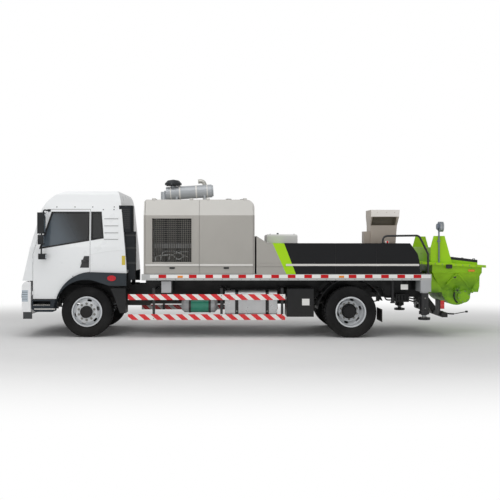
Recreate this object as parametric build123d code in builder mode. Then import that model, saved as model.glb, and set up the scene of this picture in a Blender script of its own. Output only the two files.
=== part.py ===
from build123d import *
import math
import os

os.makedirs("parts", exist_ok=True)

# Truck-mounted concrete line pump, millimetres. The front is -X, the left side -Y, the floor Z = 0.
# Origin: centre of the overall box, at floor level.

# Driving dimensions of the vehicle
WHEELBASE = 5200.0
FRONT_OVERHANG = 1360.0
REAR_OVERHANG = 2766.0
TYRE_R = 506.0
TYRE_WIDTH = 275.0
FRONT_TRACK = 1950.0
REAR_TRACK = 1840.0
DUAL_SPACING = 312.0

FRONT_AXLE_X = -(FRONT_OVERHANG + WHEELBASE + REAR_OVERHANG) / 2 + FRONT_OVERHANG
REAR_AXLE_X = FRONT_AXLE_X + WHEELBASE

# Clearances
SEAT_GAP = 0.3
RUN_FIT = 0.05
MOVE_GAP = 6.0

LEFT = -1
RIGHT = 1
SIDES = {"left": LEFT, "right": RIGHT}


# Stations are drawn for this wheelbase; another one stretches or shortens the bay between axles
DRAWN_WHEELBASE = 5200.0
BAY_START = 1100.0
BAY_END = 4400.0


def at_x(station):
    """Place along the vehicle, drawn rearwards from the front axle."""
    share = (min(max(station, BAY_START), BAY_END) - BAY_START) / (BAY_END - BAY_START)
    return FRONT_AXLE_X + station + share * (WHEELBASE - DRAWN_WHEELBASE)


def block(x0, x1, y0, y1, z0, z1, mode=Mode.ADD):
    """Square-edged block between two corners."""
    with Locations(((x0 + x1) / 2, (y0 + y1) / 2, (z0 + z1) / 2)):
        Box(abs(x1 - x0), abs(y1 - y0), abs(z1 - z0), mode=mode)


def side_plate(outline, y0, y1, mode=Mode.ADD):
    """Plate cut to a side outline of (x, z) corners, from y0 to y1."""
    with BuildSketch(Plane.XZ.offset(-y0)) as face:
        with BuildLine():
            Polyline(*outline, close=True)
        make_face()
    extrude(face.sketch, amount=y0 - y1, mode=mode)


def cross_plate(outline, x0, x1, mode=Mode.ADD):
    """Piece with one cross-section of (y, z) corners, from x0 to x1."""
    with BuildSketch(Plane.YZ.offset(x0)) as face:
        with BuildLine():
            Polyline(*outline, close=True)
        make_face()
    extrude(face.sketch, amount=x1 - x0, mode=mode)


def bar_x(x0, x1, y, z, radius, mode=Mode.ADD):
    """Round bar along X."""
    with Locations(Location(((x0 + x1) / 2, y, z), (0, 90, 0))):
        Cylinder(radius, abs(x1 - x0), mode=mode)


def bar_y(x, y0, y1, z, radius, mode=Mode.ADD):
    """Round bar along Y."""
    with Locations(Location((x, (y0 + y1) / 2, z), (90, 0, 0))):
        Cylinder(radius, abs(y1 - y0), mode=mode)


def bar_z(x, y, z0, z1, radius, mode=Mode.ADD):
    """Upright round bar."""
    with Locations((x, y, (z0 + z1) / 2)):
        Cylinder(radius, abs(z1 - z0), mode=mode)


def bent_tube(points, bend, radius, mode=Mode.ADD):
    """Round tube or rod along straight runs joined by tangent bends."""
    with BuildLine() as route:
        FilletPolyline(*points, radius=bend)
    start = Plane(origin=route.line @ 0, z_dir=route.line % 0)
    with BuildSketch(start) as section:
        Circle(radius)
    sweep(section.sketch, path=route.line, mode=mode)


def keep(piece, name):
    """Label a finished piece and write its file."""
    piece.part.label = name
    export_step(piece.part, "parts/" + name + ".step")


# Door hinges: a fixed pin between two lugs, the door's knuckle turns on it
HINGE_PIN_R = 5.0
HINGE_R = 10.0
HINGE_HALF = 22.0
HINGE_LUG = 14.0
HINGE_PLAY = 2.0
HINGE_LEAF = 20.0

# Chassis frame: two pressed channel rails, webs outwards, with cross members between them
RAIL_Y = 430.0
RAIL_FLANGE = 75.0
RAIL_WALL = 8.0
RAIL_Z0 = 750.0
RAIL_Z1 = 1000.0
RAIL_FRONT = at_x(-1150.0)
RAIL_REAR = at_x(6850.0)
CROSS_STATIONS = (-1100.0, 700.0, 1571.0, 2700.0, 4300.0, 6000.0, 6690.0)
CROSS_WIDTH = 70.0
CROSS_Z0 = 800.0
CROSS_Z1 = 950.0

# Tilt hinge of the cab: ears on the frame hold one pin each, the cab's lug turns on it
TILT_X = at_x(-1290.0)
TILT_Z = 1095.0
TILT_PIN_R = 10.0
TILT_EAR_R = 16.0
TILT_Y = 400.0
TILT_LUG = 16.0
TILT_EAR = 14.0
TILT_EAR_GAP = 2.0

# Rear rest of the cab: two posts on the rails
REST_STATION = 700.0
REST_LENGTH = 80.0
CAB_REAR_FLOOR_Z = 1268.0

with BuildPart() as chassis_frame:
    for side in SIDES.values():
        web = side * RAIL_Y
        toe = side * (RAIL_Y - RAIL_FLANGE)
        skin = side * (RAIL_Y - RAIL_WALL)
        channel = [
            (web, RAIL_Z0), (web, RAIL_Z1), (toe, RAIL_Z1), (toe, RAIL_Z1 - RAIL_WALL),
            (skin, RAIL_Z1 - RAIL_WALL), (skin, RAIL_Z0 + RAIL_WALL),
            (toe, RAIL_Z0 + RAIL_WALL), (toe, RAIL_Z0),
        ]
        cross_plate(channel, RAIL_FRONT, RAIL_REAR)
        lug_half = TILT_LUG / 2 + TILT_EAR_GAP
        for inner in (TILT_Y - lug_half - TILT_EAR, TILT_Y + lug_half):
            ear = [
                (TILT_X - TILT_EAR_R * 0.7, TILT_Z - TILT_EAR_R * 0.7),
                (TILT_X + TILT_EAR_R * 0.7, TILT_Z + TILT_EAR_R * 0.7),
                (RAIL_FRONT, RAIL_Z1 - RAIL_WALL), (RAIL_FRONT + RAIL_FLANGE, RAIL_Z1 - RAIL_WALL),
                (RAIL_FRONT + RAIL_FLANGE, RAIL_Z0 + RAIL_WALL), (RAIL_FRONT, RAIL_Z0 + RAIL_FLANGE),
            ]
            side_plate(ear, side * inner, side * (inner + TILT_EAR))
            bar_y(TILT_X, side * inner, side * (inner + TILT_EAR), TILT_Z, TILT_EAR_R)
        pin_half = lug_half + TILT_EAR
        bar_y(TILT_X, side * (TILT_Y - pin_half), side * (TILT_Y + pin_half), TILT_Z, TILT_PIN_R)
        block(at_x(REST_STATION), at_x(REST_STATION) + REST_LENGTH, side * RAIL_Y,
              side * (RAIL_Y - RAIL_FLANGE), RAIL_Z1, CAB_REAR_FLOOR_Z - SEAT_GAP)
    for station in CROSS_STATIONS:
        block(at_x(station) - CROSS_WIDTH / 2, at_x(station) + CROSS_WIDTH / 2,
              RAIL_WALL - RAIL_Y, RAIL_Y - RAIL_WALL, CROSS_Z0, CROSS_Z1)
keep(chassis_frame, "chassis_frame")

# Springs: packs of curved leaves that carry each axle under the rails
LEAF_T = 16.0
LEAF_W = 74.0
LEAF_SAG = 0.09


def leaf_pack(x, y, z_low, half_lengths):
    """Stack of bowed leaves, shortest at the bottom, each a shallow arc."""
    for index, half in enumerate(half_lengths):
        low = z_low + index * LEAF_T
        rise = half * half / half_lengths[-1] * LEAF_SAG
        with BuildSketch(Plane.XZ.offset(LEAF_W / 2 - y)) as leaf:
            with BuildLine():
                ThreePointArc((x - half, low + rise), (x, low), (x + half, low + rise))
                Line((x + half, low + rise), (x + half, low + rise + LEAF_T))
                ThreePointArc((x + half, low + rise + LEAF_T), (x, low + LEAF_T),
                              (x - half, low + rise + LEAF_T))
                Line((x - half, low + rise + LEAF_T), (x - half, low + rise))
            make_face()
        extrude(leaf.sketch, amount=-LEAF_W)


SPRING_Y = RAIL_Y - RAIL_WALL / 2
SPRING_HALVES = (300.0, 480.0, 700.0)
HANGER_L = 60.0


def spring_hangers(x, y, z_low):
    """Brackets that hold the main leaf's ends up against the rail."""
    top_leaf = z_low + LEAF_T * (len(SPRING_HALVES) - 1)
    reach = SPRING_HALVES[-1]
    for end in (-1, 1):
        block(x + end * (reach - HANGER_L), x + end * reach, y - LEAF_W / 2, y + LEAF_W / 2,
              top_leaf + reach * LEAF_SAG * 0.9, RAIL_Z0)


def spring_seat(x, y, z0, z_low):
    """Block between an axle and the leaf pack above it."""
    block(x - LEAF_W, x + LEAF_W, y - LEAF_W / 2, y + LEAF_W / 2, z0, z_low + LEAF_T / 4)


# Front axle: drop beam with an upright eye for each king pin
KING_Y = 790.0
KING_R = 20.0
EYE_R = 50.0
EYE_Z0 = 455.0
EYE_Z1 = 555.0
BEAM_HALF = 45.0
BEAM_OUTLINE = [
    # y, z of the right half, from the middle outwards and back
    (0.0, 360.0), (500.0, 360.0), (620.0, 390.0), (KING_Y - 90.0, EYE_Z0), (KING_Y - 20.0, EYE_Z0),
    (KING_Y - 20.0, EYE_Z1), (620.0, 500.0), (500.0, 460.0), (0.0, 460.0),
]
FRONT_SPRING_Z = 460.0

with BuildPart() as front_axle:
    for side in SIDES.values():
        cross_plate([(side * y, z) for y, z in BEAM_OUTLINE], FRONT_AXLE_X - BEAM_HALF,
                    FRONT_AXLE_X + BEAM_HALF)
        bar_z(FRONT_AXLE_X, side * KING_Y, EYE_Z0, EYE_Z1, EYE_R)
        spring_seat(FRONT_AXLE_X, side * SPRING_Y, FRONT_SPRING_Z - BEAM_HALF, FRONT_SPRING_Z)
        leaf_pack(FRONT_AXLE_X, side * SPRING_Y, FRONT_SPRING_Z, SPRING_HALVES)
        spring_hangers(FRONT_AXLE_X, side * SPRING_Y, FRONT_SPRING_Z)
    for side in SIDES.values():
        bar_z(FRONT_AXLE_X, side * KING_Y, EYE_Z0, EYE_Z1, KING_R + RUN_FIT, mode=Mode.SUBTRACT)
keep(front_axle, "front_axle")

# Wheels. Widths are counted outwards from the wheel's middle plane, w, with the radius r
SPINDLE_R = 45.0
RIM_SEAT_R = 286.0
RIM_FLANGE_R = 300.0
RIM_WALL = 12.0
RIM_HALF = 118.0
RIM_LIP = 12.0
DISC_T = 14.0
DRUM_R = 200.0
DRUM_WALL = 15.0
NUT_PCD_R = 162.0
NUT_R = 17.0
NUT_COUNT = 10
HAND_HOLE_COUNT = 6
HAND_HOLE_R = 230.0
HAND_HOLE_L = 88.0
HAND_HOLE_W = 42.0
HAND_HOLE_PHASE = 14.0
TYRE_BEAD_W = RIM_HALF - RIM_LIP - SEAT_GAP
TYRE_FACETS = 44
TYRE_OUTLINE = [
    # w, r of the flats from the tread's edge over the shoulder and wall to the bead
    (TYRE_WIDTH / 2 - 45.0, TYRE_R), (TYRE_WIDTH / 2 - 6.5, 455.0), (TYRE_WIDTH / 2, 385.0),
    (TYRE_BEAD_W, RIM_FLANGE_R + 3.0), (TYRE_BEAD_W, RIM_SEAT_R + SEAT_GAP),
]


def turned(outline, x, y, outward, mode=Mode.ADD):
    """Solid turned about the axle line from (w, r) corners, w outwards from the plane at y."""
    with BuildSketch(Plane.XY.offset(TYRE_R)) as face:
        with BuildLine():
            Polyline(*[(x + r, y + outward * w) for w, r in outline], close=True)
        make_face()
    revolve(face.sketch, axis=Axis((x, y, TYRE_R), (0, 1, 0)), mode=mode)


def tyre_corner(turn, w, r):
    """Corner of the tyre's flats: w along the axle, r out to the middle of a flat."""
    angle = (turn + 0.5) * 2 * math.pi / TYRE_FACETS
    reach = r / math.cos(math.pi / TYRE_FACETS)
    return Vector(reach * math.cos(angle), w, reach * math.sin(angle))


# The tyre's surface is sewn from flats, so that six tyres stay light
TYRE_LOOP = TYRE_OUTLINE + [(-w, r) for w, r in reversed(TYRE_OUTLINE)]
tyre_flats = []
for turn in range(TYRE_FACETS):
    for (w0, r0), (w1, r1) in zip(TYRE_LOOP, TYRE_LOOP[1:] + TYRE_LOOP[:1]):
        flat = Wire.make_polygon([
            tyre_corner(turn, w0, r0), tyre_corner(turn + 1, w0, r0),
            tyre_corner(turn + 1, w1, r1), tyre_corner(turn, w1, r1),
        ], close=True)
        tyre_flats.append(Face(flat))
tyre_form = Solid(Shell(tyre_flats))


def add_tyre(x, y):
    """Closed tyre, bead to bead over the tread."""
    add(tyre_form.moved(Location((x, y, TYRE_R))))


def add_rim(x, y):
    """Rim barrel with a lip at each edge."""
    seat_half = RIM_HALF - RIM_LIP
    turned([
        (-RIM_HALF, RIM_SEAT_R - RIM_WALL), (-RIM_HALF, RIM_FLANGE_R), (-seat_half, RIM_FLANGE_R),
        (-seat_half, RIM_SEAT_R), (seat_half, RIM_SEAT_R), (seat_half, RIM_FLANGE_R),
        (RIM_HALF, RIM_FLANGE_R), (RIM_HALF, RIM_SEAT_R - RIM_WALL),
    ], x, y, 1)


def cut_hand_holes(x, y0, y1):
    """Ring of oval hand holes through a wheel disc."""
    with BuildSketch(Plane((x, y0, TYRE_R), x_dir=(1, 0, 0), z_dir=(0, -1, 0))) as holes:
        with PolarLocations(HAND_HOLE_R, HAND_HOLE_COUNT, start_angle=90 - HAND_HOLE_PHASE):
            SlotOverall(HAND_HOLE_L, HAND_HOLE_W, rotation=90)
    extrude(holes.sketch, amount=y0 - y1, mode=Mode.SUBTRACT)


def add_nuts(x, y0, y1):
    """Ring of wheel nuts."""
    with BuildSketch(Plane((x, y0, TYRE_R), x_dir=(1, 0, 0), z_dir=(0, -1, 0))) as nuts:
        with PolarLocations(NUT_PCD_R, NUT_COUNT, start_angle=90):
            RegularPolygon(NUT_R, 6)
    extrude(nuts.sketch, amount=y0 - y1)


# Front wheel: the disc bulges outwards and the hub with its brake drum fills it
FRONT_FACE_W = 150.0
FRONT_CONE_R = 205.0
FRONT_CONE_W = 78.0
FRONT_CAP_R = 112.0
FRONT_CAP_W = 225.0
FRONT_DRUM_W = -105.0
HUB_R = 80.0
SPINDLE_END_W = 140.0
FRONT_WHEEL = [
    # w, r: hub bore, hub, drum, disc and cap in one turned form
    (-60.0, SPINDLE_R + SEAT_GAP), (-60.0, HUB_R), (40.0, HUB_R), (60.0, DRUM_R - DRUM_WALL),
    (FRONT_DRUM_W, DRUM_R - DRUM_WALL), (FRONT_DRUM_W, DRUM_R), (75.0, DRUM_R),
    (90.0, NUT_PCD_R + NUT_R), (FRONT_FACE_W - DISC_T, FRONT_CONE_R - DISC_T),
    (FRONT_CONE_W - DISC_T, RIM_SEAT_R - RIM_WALL / 2), (FRONT_CONE_W, RIM_SEAT_R - RIM_WALL / 2),
    (FRONT_FACE_W, FRONT_CONE_R), (FRONT_FACE_W, FRONT_CAP_R), (FRONT_CAP_W - 20, FRONT_CAP_R),
    (FRONT_CAP_W, FRONT_CAP_R - 25), (FRONT_CAP_W, 0.0),
    (SPINDLE_END_W + MOVE_GAP, 0.0), (SPINDLE_END_W + MOVE_GAP, SPINDLE_R + SEAT_GAP),
]
FRONT_WHEEL_Y = FRONT_TRACK / 2

for side_name, side in SIDES.items():
    with BuildPart() as rim_front:
        add_rim(FRONT_AXLE_X, side * FRONT_WHEEL_Y)
        turned(FRONT_WHEEL, FRONT_AXLE_X, side * FRONT_WHEEL_Y, side)
        cut_hand_holes(FRONT_AXLE_X, side * (FRONT_WHEEL_Y + FRONT_CONE_W - DISC_T),
                       side * (FRONT_WHEEL_Y + FRONT_FACE_W + DISC_T))
        add_nuts(FRONT_AXLE_X, side * (FRONT_WHEEL_Y + FRONT_FACE_W),
                 side * (FRONT_WHEEL_Y + FRONT_FACE_W + 30.0))
    keep(rim_front, "rim_front_" + side_name)
    with BuildPart() as tyre_front:
        add_tyre(FRONT_AXLE_X, side * FRONT_WHEEL_Y)
    keep(tyre_front, "tyre_front_" + side_name)

# Rear wheels: twin rims on one hub, both discs meet at the twin's middle plane
REAR_WHEEL_Y = REAR_TRACK / 2
REAR_CONE_W = 78.0
REAR_HUB_R = 118.0
REAR_CAP_W = 110.0
REAR_DRUM_W = -225.0
REAR_WHEEL = [
    # w, r counted from the twin's middle plane
    (-180.0, SPINDLE_R + SEAT_GAP), (-180.0, HUB_R), (-60.0, HUB_R),
    (-45.0, DRUM_R - DRUM_WALL), (REAR_DRUM_W, DRUM_R - DRUM_WALL), (REAR_DRUM_W, DRUM_R),
    (-30.0, DRUM_R), (-DISC_T, NUT_PCD_R + NUT_R), (-DISC_T, FRONT_CONE_R),
    (-REAR_CONE_W, RIM_SEAT_R - RIM_WALL / 2), (DISC_T - REAR_CONE_W, RIM_SEAT_R - RIM_WALL / 2),
    (0.0, FRONT_CONE_R + DISC_T), (REAR_CONE_W - DISC_T, RIM_SEAT_R - RIM_WALL / 2),
    (REAR_CONE_W, RIM_SEAT_R - RIM_WALL / 2), (DISC_T, FRONT_CONE_R), (DISC_T, REAR_HUB_R),
    (REAR_CAP_W, REAR_HUB_R), (REAR_CAP_W, 0.0), (MOVE_GAP, 0.0), (MOVE_GAP, SPINDLE_R + SEAT_GAP),
]

for side_name, side in SIDES.items():
    with BuildPart() as rim_rear:
        for twin in (-1, 1):
            add_rim(REAR_AXLE_X, side * (REAR_WHEEL_Y + twin * DUAL_SPACING / 2))
        turned(REAR_WHEEL, REAR_AXLE_X, side * REAR_WHEEL_Y, side)
        cut_hand_holes(REAR_AXLE_X, side * (REAR_WHEEL_Y - REAR_CONE_W),
                       side * (REAR_WHEEL_Y + REAR_CONE_W))
        add_nuts(REAR_AXLE_X, side * (REAR_WHEEL_Y + DISC_T), side * (REAR_WHEEL_Y + 44.0))
    keep(rim_rear, "rim_rear_" + side_name)
    with BuildPart() as tyre_rear:
        for twin in (-1, 1):
            add_tyre(REAR_AXLE_X, side * (REAR_WHEEL_Y + twin * DUAL_SPACING / 2))
    keep(tyre_rear, "tyre_rear_" + side_name)

# Steering knuckles: a fork round the beam's eye with the king pin, the spindle and the tie rod's arm
FORK_GAP = 2.0
FORK_T = 40.0
FORK_W = 45.0
FORK_BACK_W0 = 56.0
FORK_BACK_W1 = 80.0
ARM_REACH = 220.0
ARM_HALF = 20.0
BALL_R = 12.0
TIE_R = 13.0
TIE_EYE_H = 30.0
TIE_EYE_R = 26.0
TIE_GAP = 3.0
TIE_EYE_FREE = 2.0
SHIELD_R = 190.0
SHIELD_T = 6.0
ARM_Z1 = EYE_Z0 - FORK_GAP
ARM_Z0 = ARM_Z1 - FORK_T
TIE_EYE_Z1 = ARM_Z0 - TIE_GAP
TIE_EYE_Z0 = TIE_EYE_Z1 - TIE_EYE_H

for side_name, side in SIDES.items():
    king = side * KING_Y
    back0 = side * (KING_Y + FORK_BACK_W0)
    back1 = side * (KING_Y + FORK_BACK_W1)
    with BuildPart() as knuckle:
        for z0, z1 in ((ARM_Z0, ARM_Z1), (EYE_Z1 + FORK_GAP, EYE_Z1 + FORK_GAP + FORK_T)):
            bar_z(FRONT_AXLE_X, king, z0, z1, FORK_W)
            block(FRONT_AXLE_X - FORK_W, FRONT_AXLE_X + FORK_W, king, back1, z0, z1)
        block(FRONT_AXLE_X - FORK_W, FRONT_AXLE_X + FORK_W, back0, back1,
              ARM_Z0, EYE_Z1 + FORK_GAP + FORK_T)
        bar_z(FRONT_AXLE_X, king, ARM_Z0, EYE_Z1 + FORK_GAP + FORK_T, KING_R)
        bar_y(FRONT_AXLE_X, back0, side * (FRONT_WHEEL_Y + SPINDLE_END_W), TYRE_R, SPINDLE_R)
        shield0 = side * (FRONT_WHEEL_Y + FRONT_DRUM_W - MOVE_GAP)
        bar_y(FRONT_AXLE_X, shield0, shield0 - side * SHIELD_T, TYRE_R, SHIELD_R)
        block(FRONT_AXLE_X, FRONT_AXLE_X + ARM_REACH, king - ARM_HALF, king + ARM_HALF,
              ARM_Z0, ARM_Z1)
        bar_z(FRONT_AXLE_X + ARM_REACH, king, ARM_Z0, ARM_Z1, ARM_HALF)
        bar_z(FRONT_AXLE_X + ARM_REACH, king, TIE_EYE_Z0 - TIE_GAP, ARM_Z0, BALL_R)
    keep(knuckle, "knuckle_" + side_name)

with BuildPart() as tie_rod:
    bar_y(FRONT_AXLE_X + ARM_REACH, -KING_Y, KING_Y, (TIE_EYE_Z0 + TIE_EYE_Z1) / 2, TIE_R)
    for side in SIDES.values():
        bar_z(FRONT_AXLE_X + ARM_REACH, side * KING_Y, TIE_EYE_Z0, TIE_EYE_Z1, TIE_EYE_R)
    bar_z(FRONT_AXLE_X + ARM_REACH, -KING_Y, TIE_EYE_Z0, TIE_EYE_Z1, BALL_R + RUN_FIT,
          mode=Mode.SUBTRACT)
    bar_z(FRONT_AXLE_X + ARM_REACH, KING_Y, TIE_EYE_Z0, TIE_EYE_Z1, BALL_R + TIE_EYE_FREE,
          mode=Mode.SUBTRACT)
keep(tie_rod, "tie_rod")

# Rear axle: tube with a round final drive in the middle, spindles into the twin wheels
AXLE_TUBE_R = 70.0
AXLE_TUBE_END = REAR_WHEEL_Y - 250.0
DRIVE_R = 190.0
DRIVE_HALF = 150.0
REAR_SPRING_Z = TYRE_R + AXLE_TUBE_R

with BuildPart() as rear_axle:
    bar_y(REAR_AXLE_X, -AXLE_TUBE_END, AXLE_TUBE_END, TYRE_R, AXLE_TUBE_R)
    bar_y(REAR_AXLE_X, -REAR_WHEEL_Y, REAR_WHEEL_Y, TYRE_R, SPINDLE_R)
    turned([(-DRIVE_HALF, 0.0), (-DRIVE_HALF, AXLE_TUBE_R + 20), (-60.0, DRIVE_R),
            (60.0, DRIVE_R), (DRIVE_HALF, AXLE_TUBE_R + 20), (DRIVE_HALF, 0.0)],
           REAR_AXLE_X, 0.0, 1)
    for side in SIDES.values():
        spring_seat(REAR_AXLE_X, side * SPRING_Y, TYRE_R, REAR_SPRING_Z)
        leaf_pack(REAR_AXLE_X, side * SPRING_Y, REAR_SPRING_Z, SPRING_HALVES)
        spring_hangers(REAR_AXLE_X, side * SPRING_Y, REAR_SPRING_Z)
keep(rear_axle, "rear_axle")

# Drive line: engine block, gearbox and shaft back to the final drive
ENGINE_HALF_Y = 300.0
SHAFT_R = 45.0
SHAFT_Z = 620.0

with BuildPart() as drive_line:
    block(at_x(-650.0), at_x(450.0), -ENGINE_HALF_Y, ENGINE_HALF_Y, 620.0, 1090.0)
    block(at_x(-1065.0), at_x(-640.0), RAIL_WALL - RAIL_Y, RAIL_Y - RAIL_WALL, 820.0, 870.0)
    block(at_x(450.0), at_x(1150.0), -190.0, 190.0, 560.0, 785.0)
    shaft_end = REAR_AXLE_X - DRIVE_R + 10.0
    bar_x(at_x(1150.0), shaft_end, 0.0, SHAFT_Z, SHAFT_R)
    for side in SIDES.values():
        block(at_x(200.0), at_x(320.0), side * ENGINE_HALF_Y,
              side * (RAIL_Y - RAIL_WALL), 860.0, 910.0)
keep(drive_line, "drive_line")

# Front bumper: bowed pressing with rounded top edge, returns at the sides and a lower lip
BUMPER_CENTRE = at_x(-FRONT_OVERHANG)
BUMPER_CORNER = at_x(-1250.0)
BUMPER_REAR = at_x(-1075.0)
BUMPER_HALF = 1230.0
BUMPER_WALL = 40.0
BUMPER_Z0 = 375.0
BUMPER_LIP_Z = 512.0
BUMPER_Z1 = 1105.0
BUMPER_ROUND = 100.0
LAMP_Z0 = 714.0
LAMP_Z1 = 940.0
LAMP_Y0 = 880.0
LAMP_REAR = at_x(-1130.0)
BRACKET_LAP = 140.0
BRACKET_T = 30.0
BRACKET_Z0 = 780.0
BRACKET_Z1 = 970.0


def bumper_form(inset, z0, z1):
    """Bumper's plan form between two heights, its outer faces moved inwards by inset."""
    half = BUMPER_HALF - inset
    with BuildSketch(Plane.XY.offset(z0)) as plan:
        with BuildLine():
            ThreePointArc((BUMPER_CORNER + inset, -half), (BUMPER_CENTRE + inset, 0.0),
                          (BUMPER_CORNER + inset, half))
            Polyline((BUMPER_CORNER + inset, half), (BUMPER_REAR + inset, half),
                     (BUMPER_REAR + inset, -half), (BUMPER_CORNER + inset, -half))
        make_face()
    return extrude(plan.sketch, amount=z1 - z0, mode=Mode.PRIVATE)


with BuildPart() as front_bumper:
    add(bumper_form(0.0, BUMPER_LIP_Z, BUMPER_Z1))
    top_front = front_bumper.faces().sort_by(Axis.Z)[-1].edges().sort_by(Axis.X)[0]
    fillet(top_front, radius=BUMPER_ROUND)
    add(bumper_form(BUMPER_WALL / 2, BUMPER_Z0, BUMPER_LIP_Z))
    add(bumper_form(BUMPER_WALL, BUMPER_Z0 - 1, BUMPER_Z1 + 1), mode=Mode.SUBTRACT)
    for side in SIDES.values():
        block(BUMPER_CENTRE, LAMP_REAR, side * LAMP_Y0, side * (BUMPER_HALF + 1),
              LAMP_Z0, LAMP_Z1, mode=Mode.SUBTRACT)
        block(BUMPER_CENTRE + BUMPER_WALL, RAIL_FRONT + BRACKET_LAP, side * RAIL_Y,
              side * (RAIL_Y + BRACKET_T), BRACKET_Z0, BRACKET_Z1)
        block(BUMPER_CENTRE + BUMPER_WALL * 0.7, RAIL_FRONT, side * (TILT_Y - 50),
              side * (TILT_Y + 50), TILT_Z - 55, BUMPER_Z1 + 1, mode=Mode.SUBTRACT)
keep(front_bumper, "front_bumper")

with BuildPart() as headlamps:
    add(bumper_form(0.0, LAMP_Z0 + SEAT_GAP, LAMP_Z1 - SEAT_GAP))
    block(BUMPER_CENTRE, BUMPER_REAR, SEAT_GAP - LAMP_Y0, LAMP_Y0 - SEAT_GAP + SEAT_GAP * 2,
          LAMP_Z0, LAMP_Z1, mode=Mode.SUBTRACT)
    block(BUMPER_CENTRE, BUMPER_REAR, LAMP_Y0 - 1, LAMP_Y0 + SEAT_GAP, LAMP_Z0, LAMP_Z1,
          mode=Mode.SUBTRACT)
    block(BUMPER_CENTRE, BUMPER_REAR, -LAMP_Y0 - SEAT_GAP, 1 - LAMP_Y0, LAMP_Z0, LAMP_Z1,
          mode=Mode.SUBTRACT)
    block(LAMP_REAR - SEAT_GAP, BUMPER_REAR + 1, -BUMPER_HALF, BUMPER_HALF, LAMP_Z0, LAMP_Z1,
          mode=Mode.SUBTRACT)
    add(bumper_form(BUMPER_WALL * 1.5, LAMP_Z0, LAMP_Z1), mode=Mode.SUBTRACT)
keep(headlamps, "headlamps")

# Entry steps under the doors, cut to clear the steered wheel
STEP_FRONT = at_x(-1060.0)
STEP_REAR = at_x(-540.0)
STEP_Z0 = 512.0
STEP_Z1 = 750.0
STEP_WALL = 25.0
STEP_Y0 = 930.0
STEP_Y1 = 1230.0
ARCH_R = 636.0
STEP_OUTLINE = [
    (STEP_FRONT, STEP_Z1), (STEP_REAR, STEP_Z1), (STEP_REAR, STEP_Z0 + 90), (at_x(-650.0), STEP_Z0),
    (at_x(-980.0), STEP_Z0), (STEP_FRONT, STEP_Z0 + 60),
]

with BuildPart() as step_boxes:
    for side in SIDES.values():
        side_plate(STEP_OUTLINE, side * STEP_Y0, side * STEP_Y1)
        block(STEP_FRONT + STEP_WALL, at_x(-690.0), side * (STEP_Y0 + STEP_WALL),
              side * (STEP_Y1 + 1), STEP_Z0 + 130, STEP_Z1 - STEP_WALL, mode=Mode.SUBTRACT)
        block(at_x(-1000.0), at_x(-900.0), side * RAIL_Y, side * STEP_Y0,
              RAIL_Z0 - 60, RAIL_Z0)
        block(at_x(-1000.0), at_x(-900.0), side * RAIL_Y, side * (RAIL_Y + 20),
              RAIL_Z0 - 60, RAIL_Z1 - 60)
    bar_y(FRONT_AXLE_X, -STEP_Y1 - 1, STEP_Y1 + 1, TYRE_R, ARCH_R, mode=Mode.SUBTRACT)
keep(step_boxes, "step_boxes")

# Mudguards: flaps behind the front wheels, arched plates round the rear twins
GUARD_Y1 = 1220.0
FLAP_OUTLINE = [
    (at_x(489.0), 974.0), (at_x(571.0), 774.0), (at_x(641.0), 563.0), (at_x(671.0), 487.0),
    (at_x(782.0), 487.0), (at_x(782.0), 974.0),
]
FLAP_Y0 = 860.0
FENDER_R = 650.0
FENDER_T = 8.0
FENDER_Y0 = 720.0
FENDER_SPANS = {"front": (109.0, 175.0), "rear": (20.0, 71.0)}
STAY_R = 20.0
STAY_ANGLES = (147.0, 122.0, 58.0, 33.0)
STAY_Y1 = 1100.0


def fender_point(angle, radius):
    """Point on a circle round the rear axle."""
    turn = math.radians(angle)
    return REAR_AXLE_X + radius * math.cos(turn), TYRE_R + radius * math.sin(turn)


with BuildPart() as mudguards:
    for side in SIDES.values():
        side_plate(FLAP_OUTLINE, side * FLAP_Y0, side * (GUARD_Y1 + 5))
        block(at_x(690.0), at_x(740.0), side * RAIL_Y, side * FLAP_Y0, 880.0, 930.0)
        for low, high in FENDER_SPANS.values():
            with BuildSketch(Plane.XZ.offset(-side * FENDER_Y0)) as span:
                with BuildLine():
                    mid = (low + high) / 2
                    outer_r = FENDER_R + FENDER_T
                    ThreePointArc(*[fender_point(a, FENDER_R) for a in (low, mid, high)])
                    Line(fender_point(high, FENDER_R), fender_point(high, outer_r))
                    ThreePointArc(*[fender_point(a, outer_r) for a in (high, mid, low)])
                    Line(fender_point(low, outer_r), fender_point(low, FENDER_R))
                make_face()
            extrude(span.sketch, amount=-side * (GUARD_Y1 - FENDER_Y0))
        for angle in STAY_ANGLES:
            x, z = fender_point(angle, FENDER_R + FENDER_T + STAY_R / 2)
            bar_y(x, side * RAIL_Y, side * STAY_Y1, z, STAY_R)
keep(mudguards, "mudguards")

# Side guards: two plank rails along each side on posts, hung from the chassis rails
PLANK_Y0 = 1190.0
PLANK_Y1 = 1215.0
PLANK_X0 = at_x(826.0)
PLANK_X1 = at_x(3909.0)
PLANK_HEIGHTS = {"lower": (354.0, 465.0), "upper": (746.0, 857.0)}
POST_STATIONS = (1330.0, 2660.0, 3850.0)
POST_HALF = 25.0
POST_T = 25.0
GUARD_ARM_Z0 = 935.0
GUARD_ARM_Z1 = 975.0

with BuildPart() as side_guards:
    for side in SIDES.values():
        for z0, z1 in PLANK_HEIGHTS.values():
            block(PLANK_X0, PLANK_X1, side * PLANK_Y0, side * PLANK_Y1, z0, z1)
        for station in POST_STATIONS:
            block(at_x(station) - POST_HALF, at_x(station) + POST_HALF,
                  side * (PLANK_Y0 - POST_T), side * PLANK_Y0, PLANK_HEIGHTS["lower"][0],
                  GUARD_ARM_Z1)
            block(at_x(station) - POST_HALF, at_x(station) + POST_HALF, side * RAIL_Y,
                  side * PLANK_Y0, GUARD_ARM_Z0, GUARD_ARM_Z1)
keep(side_guards, "side_guards")

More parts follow.
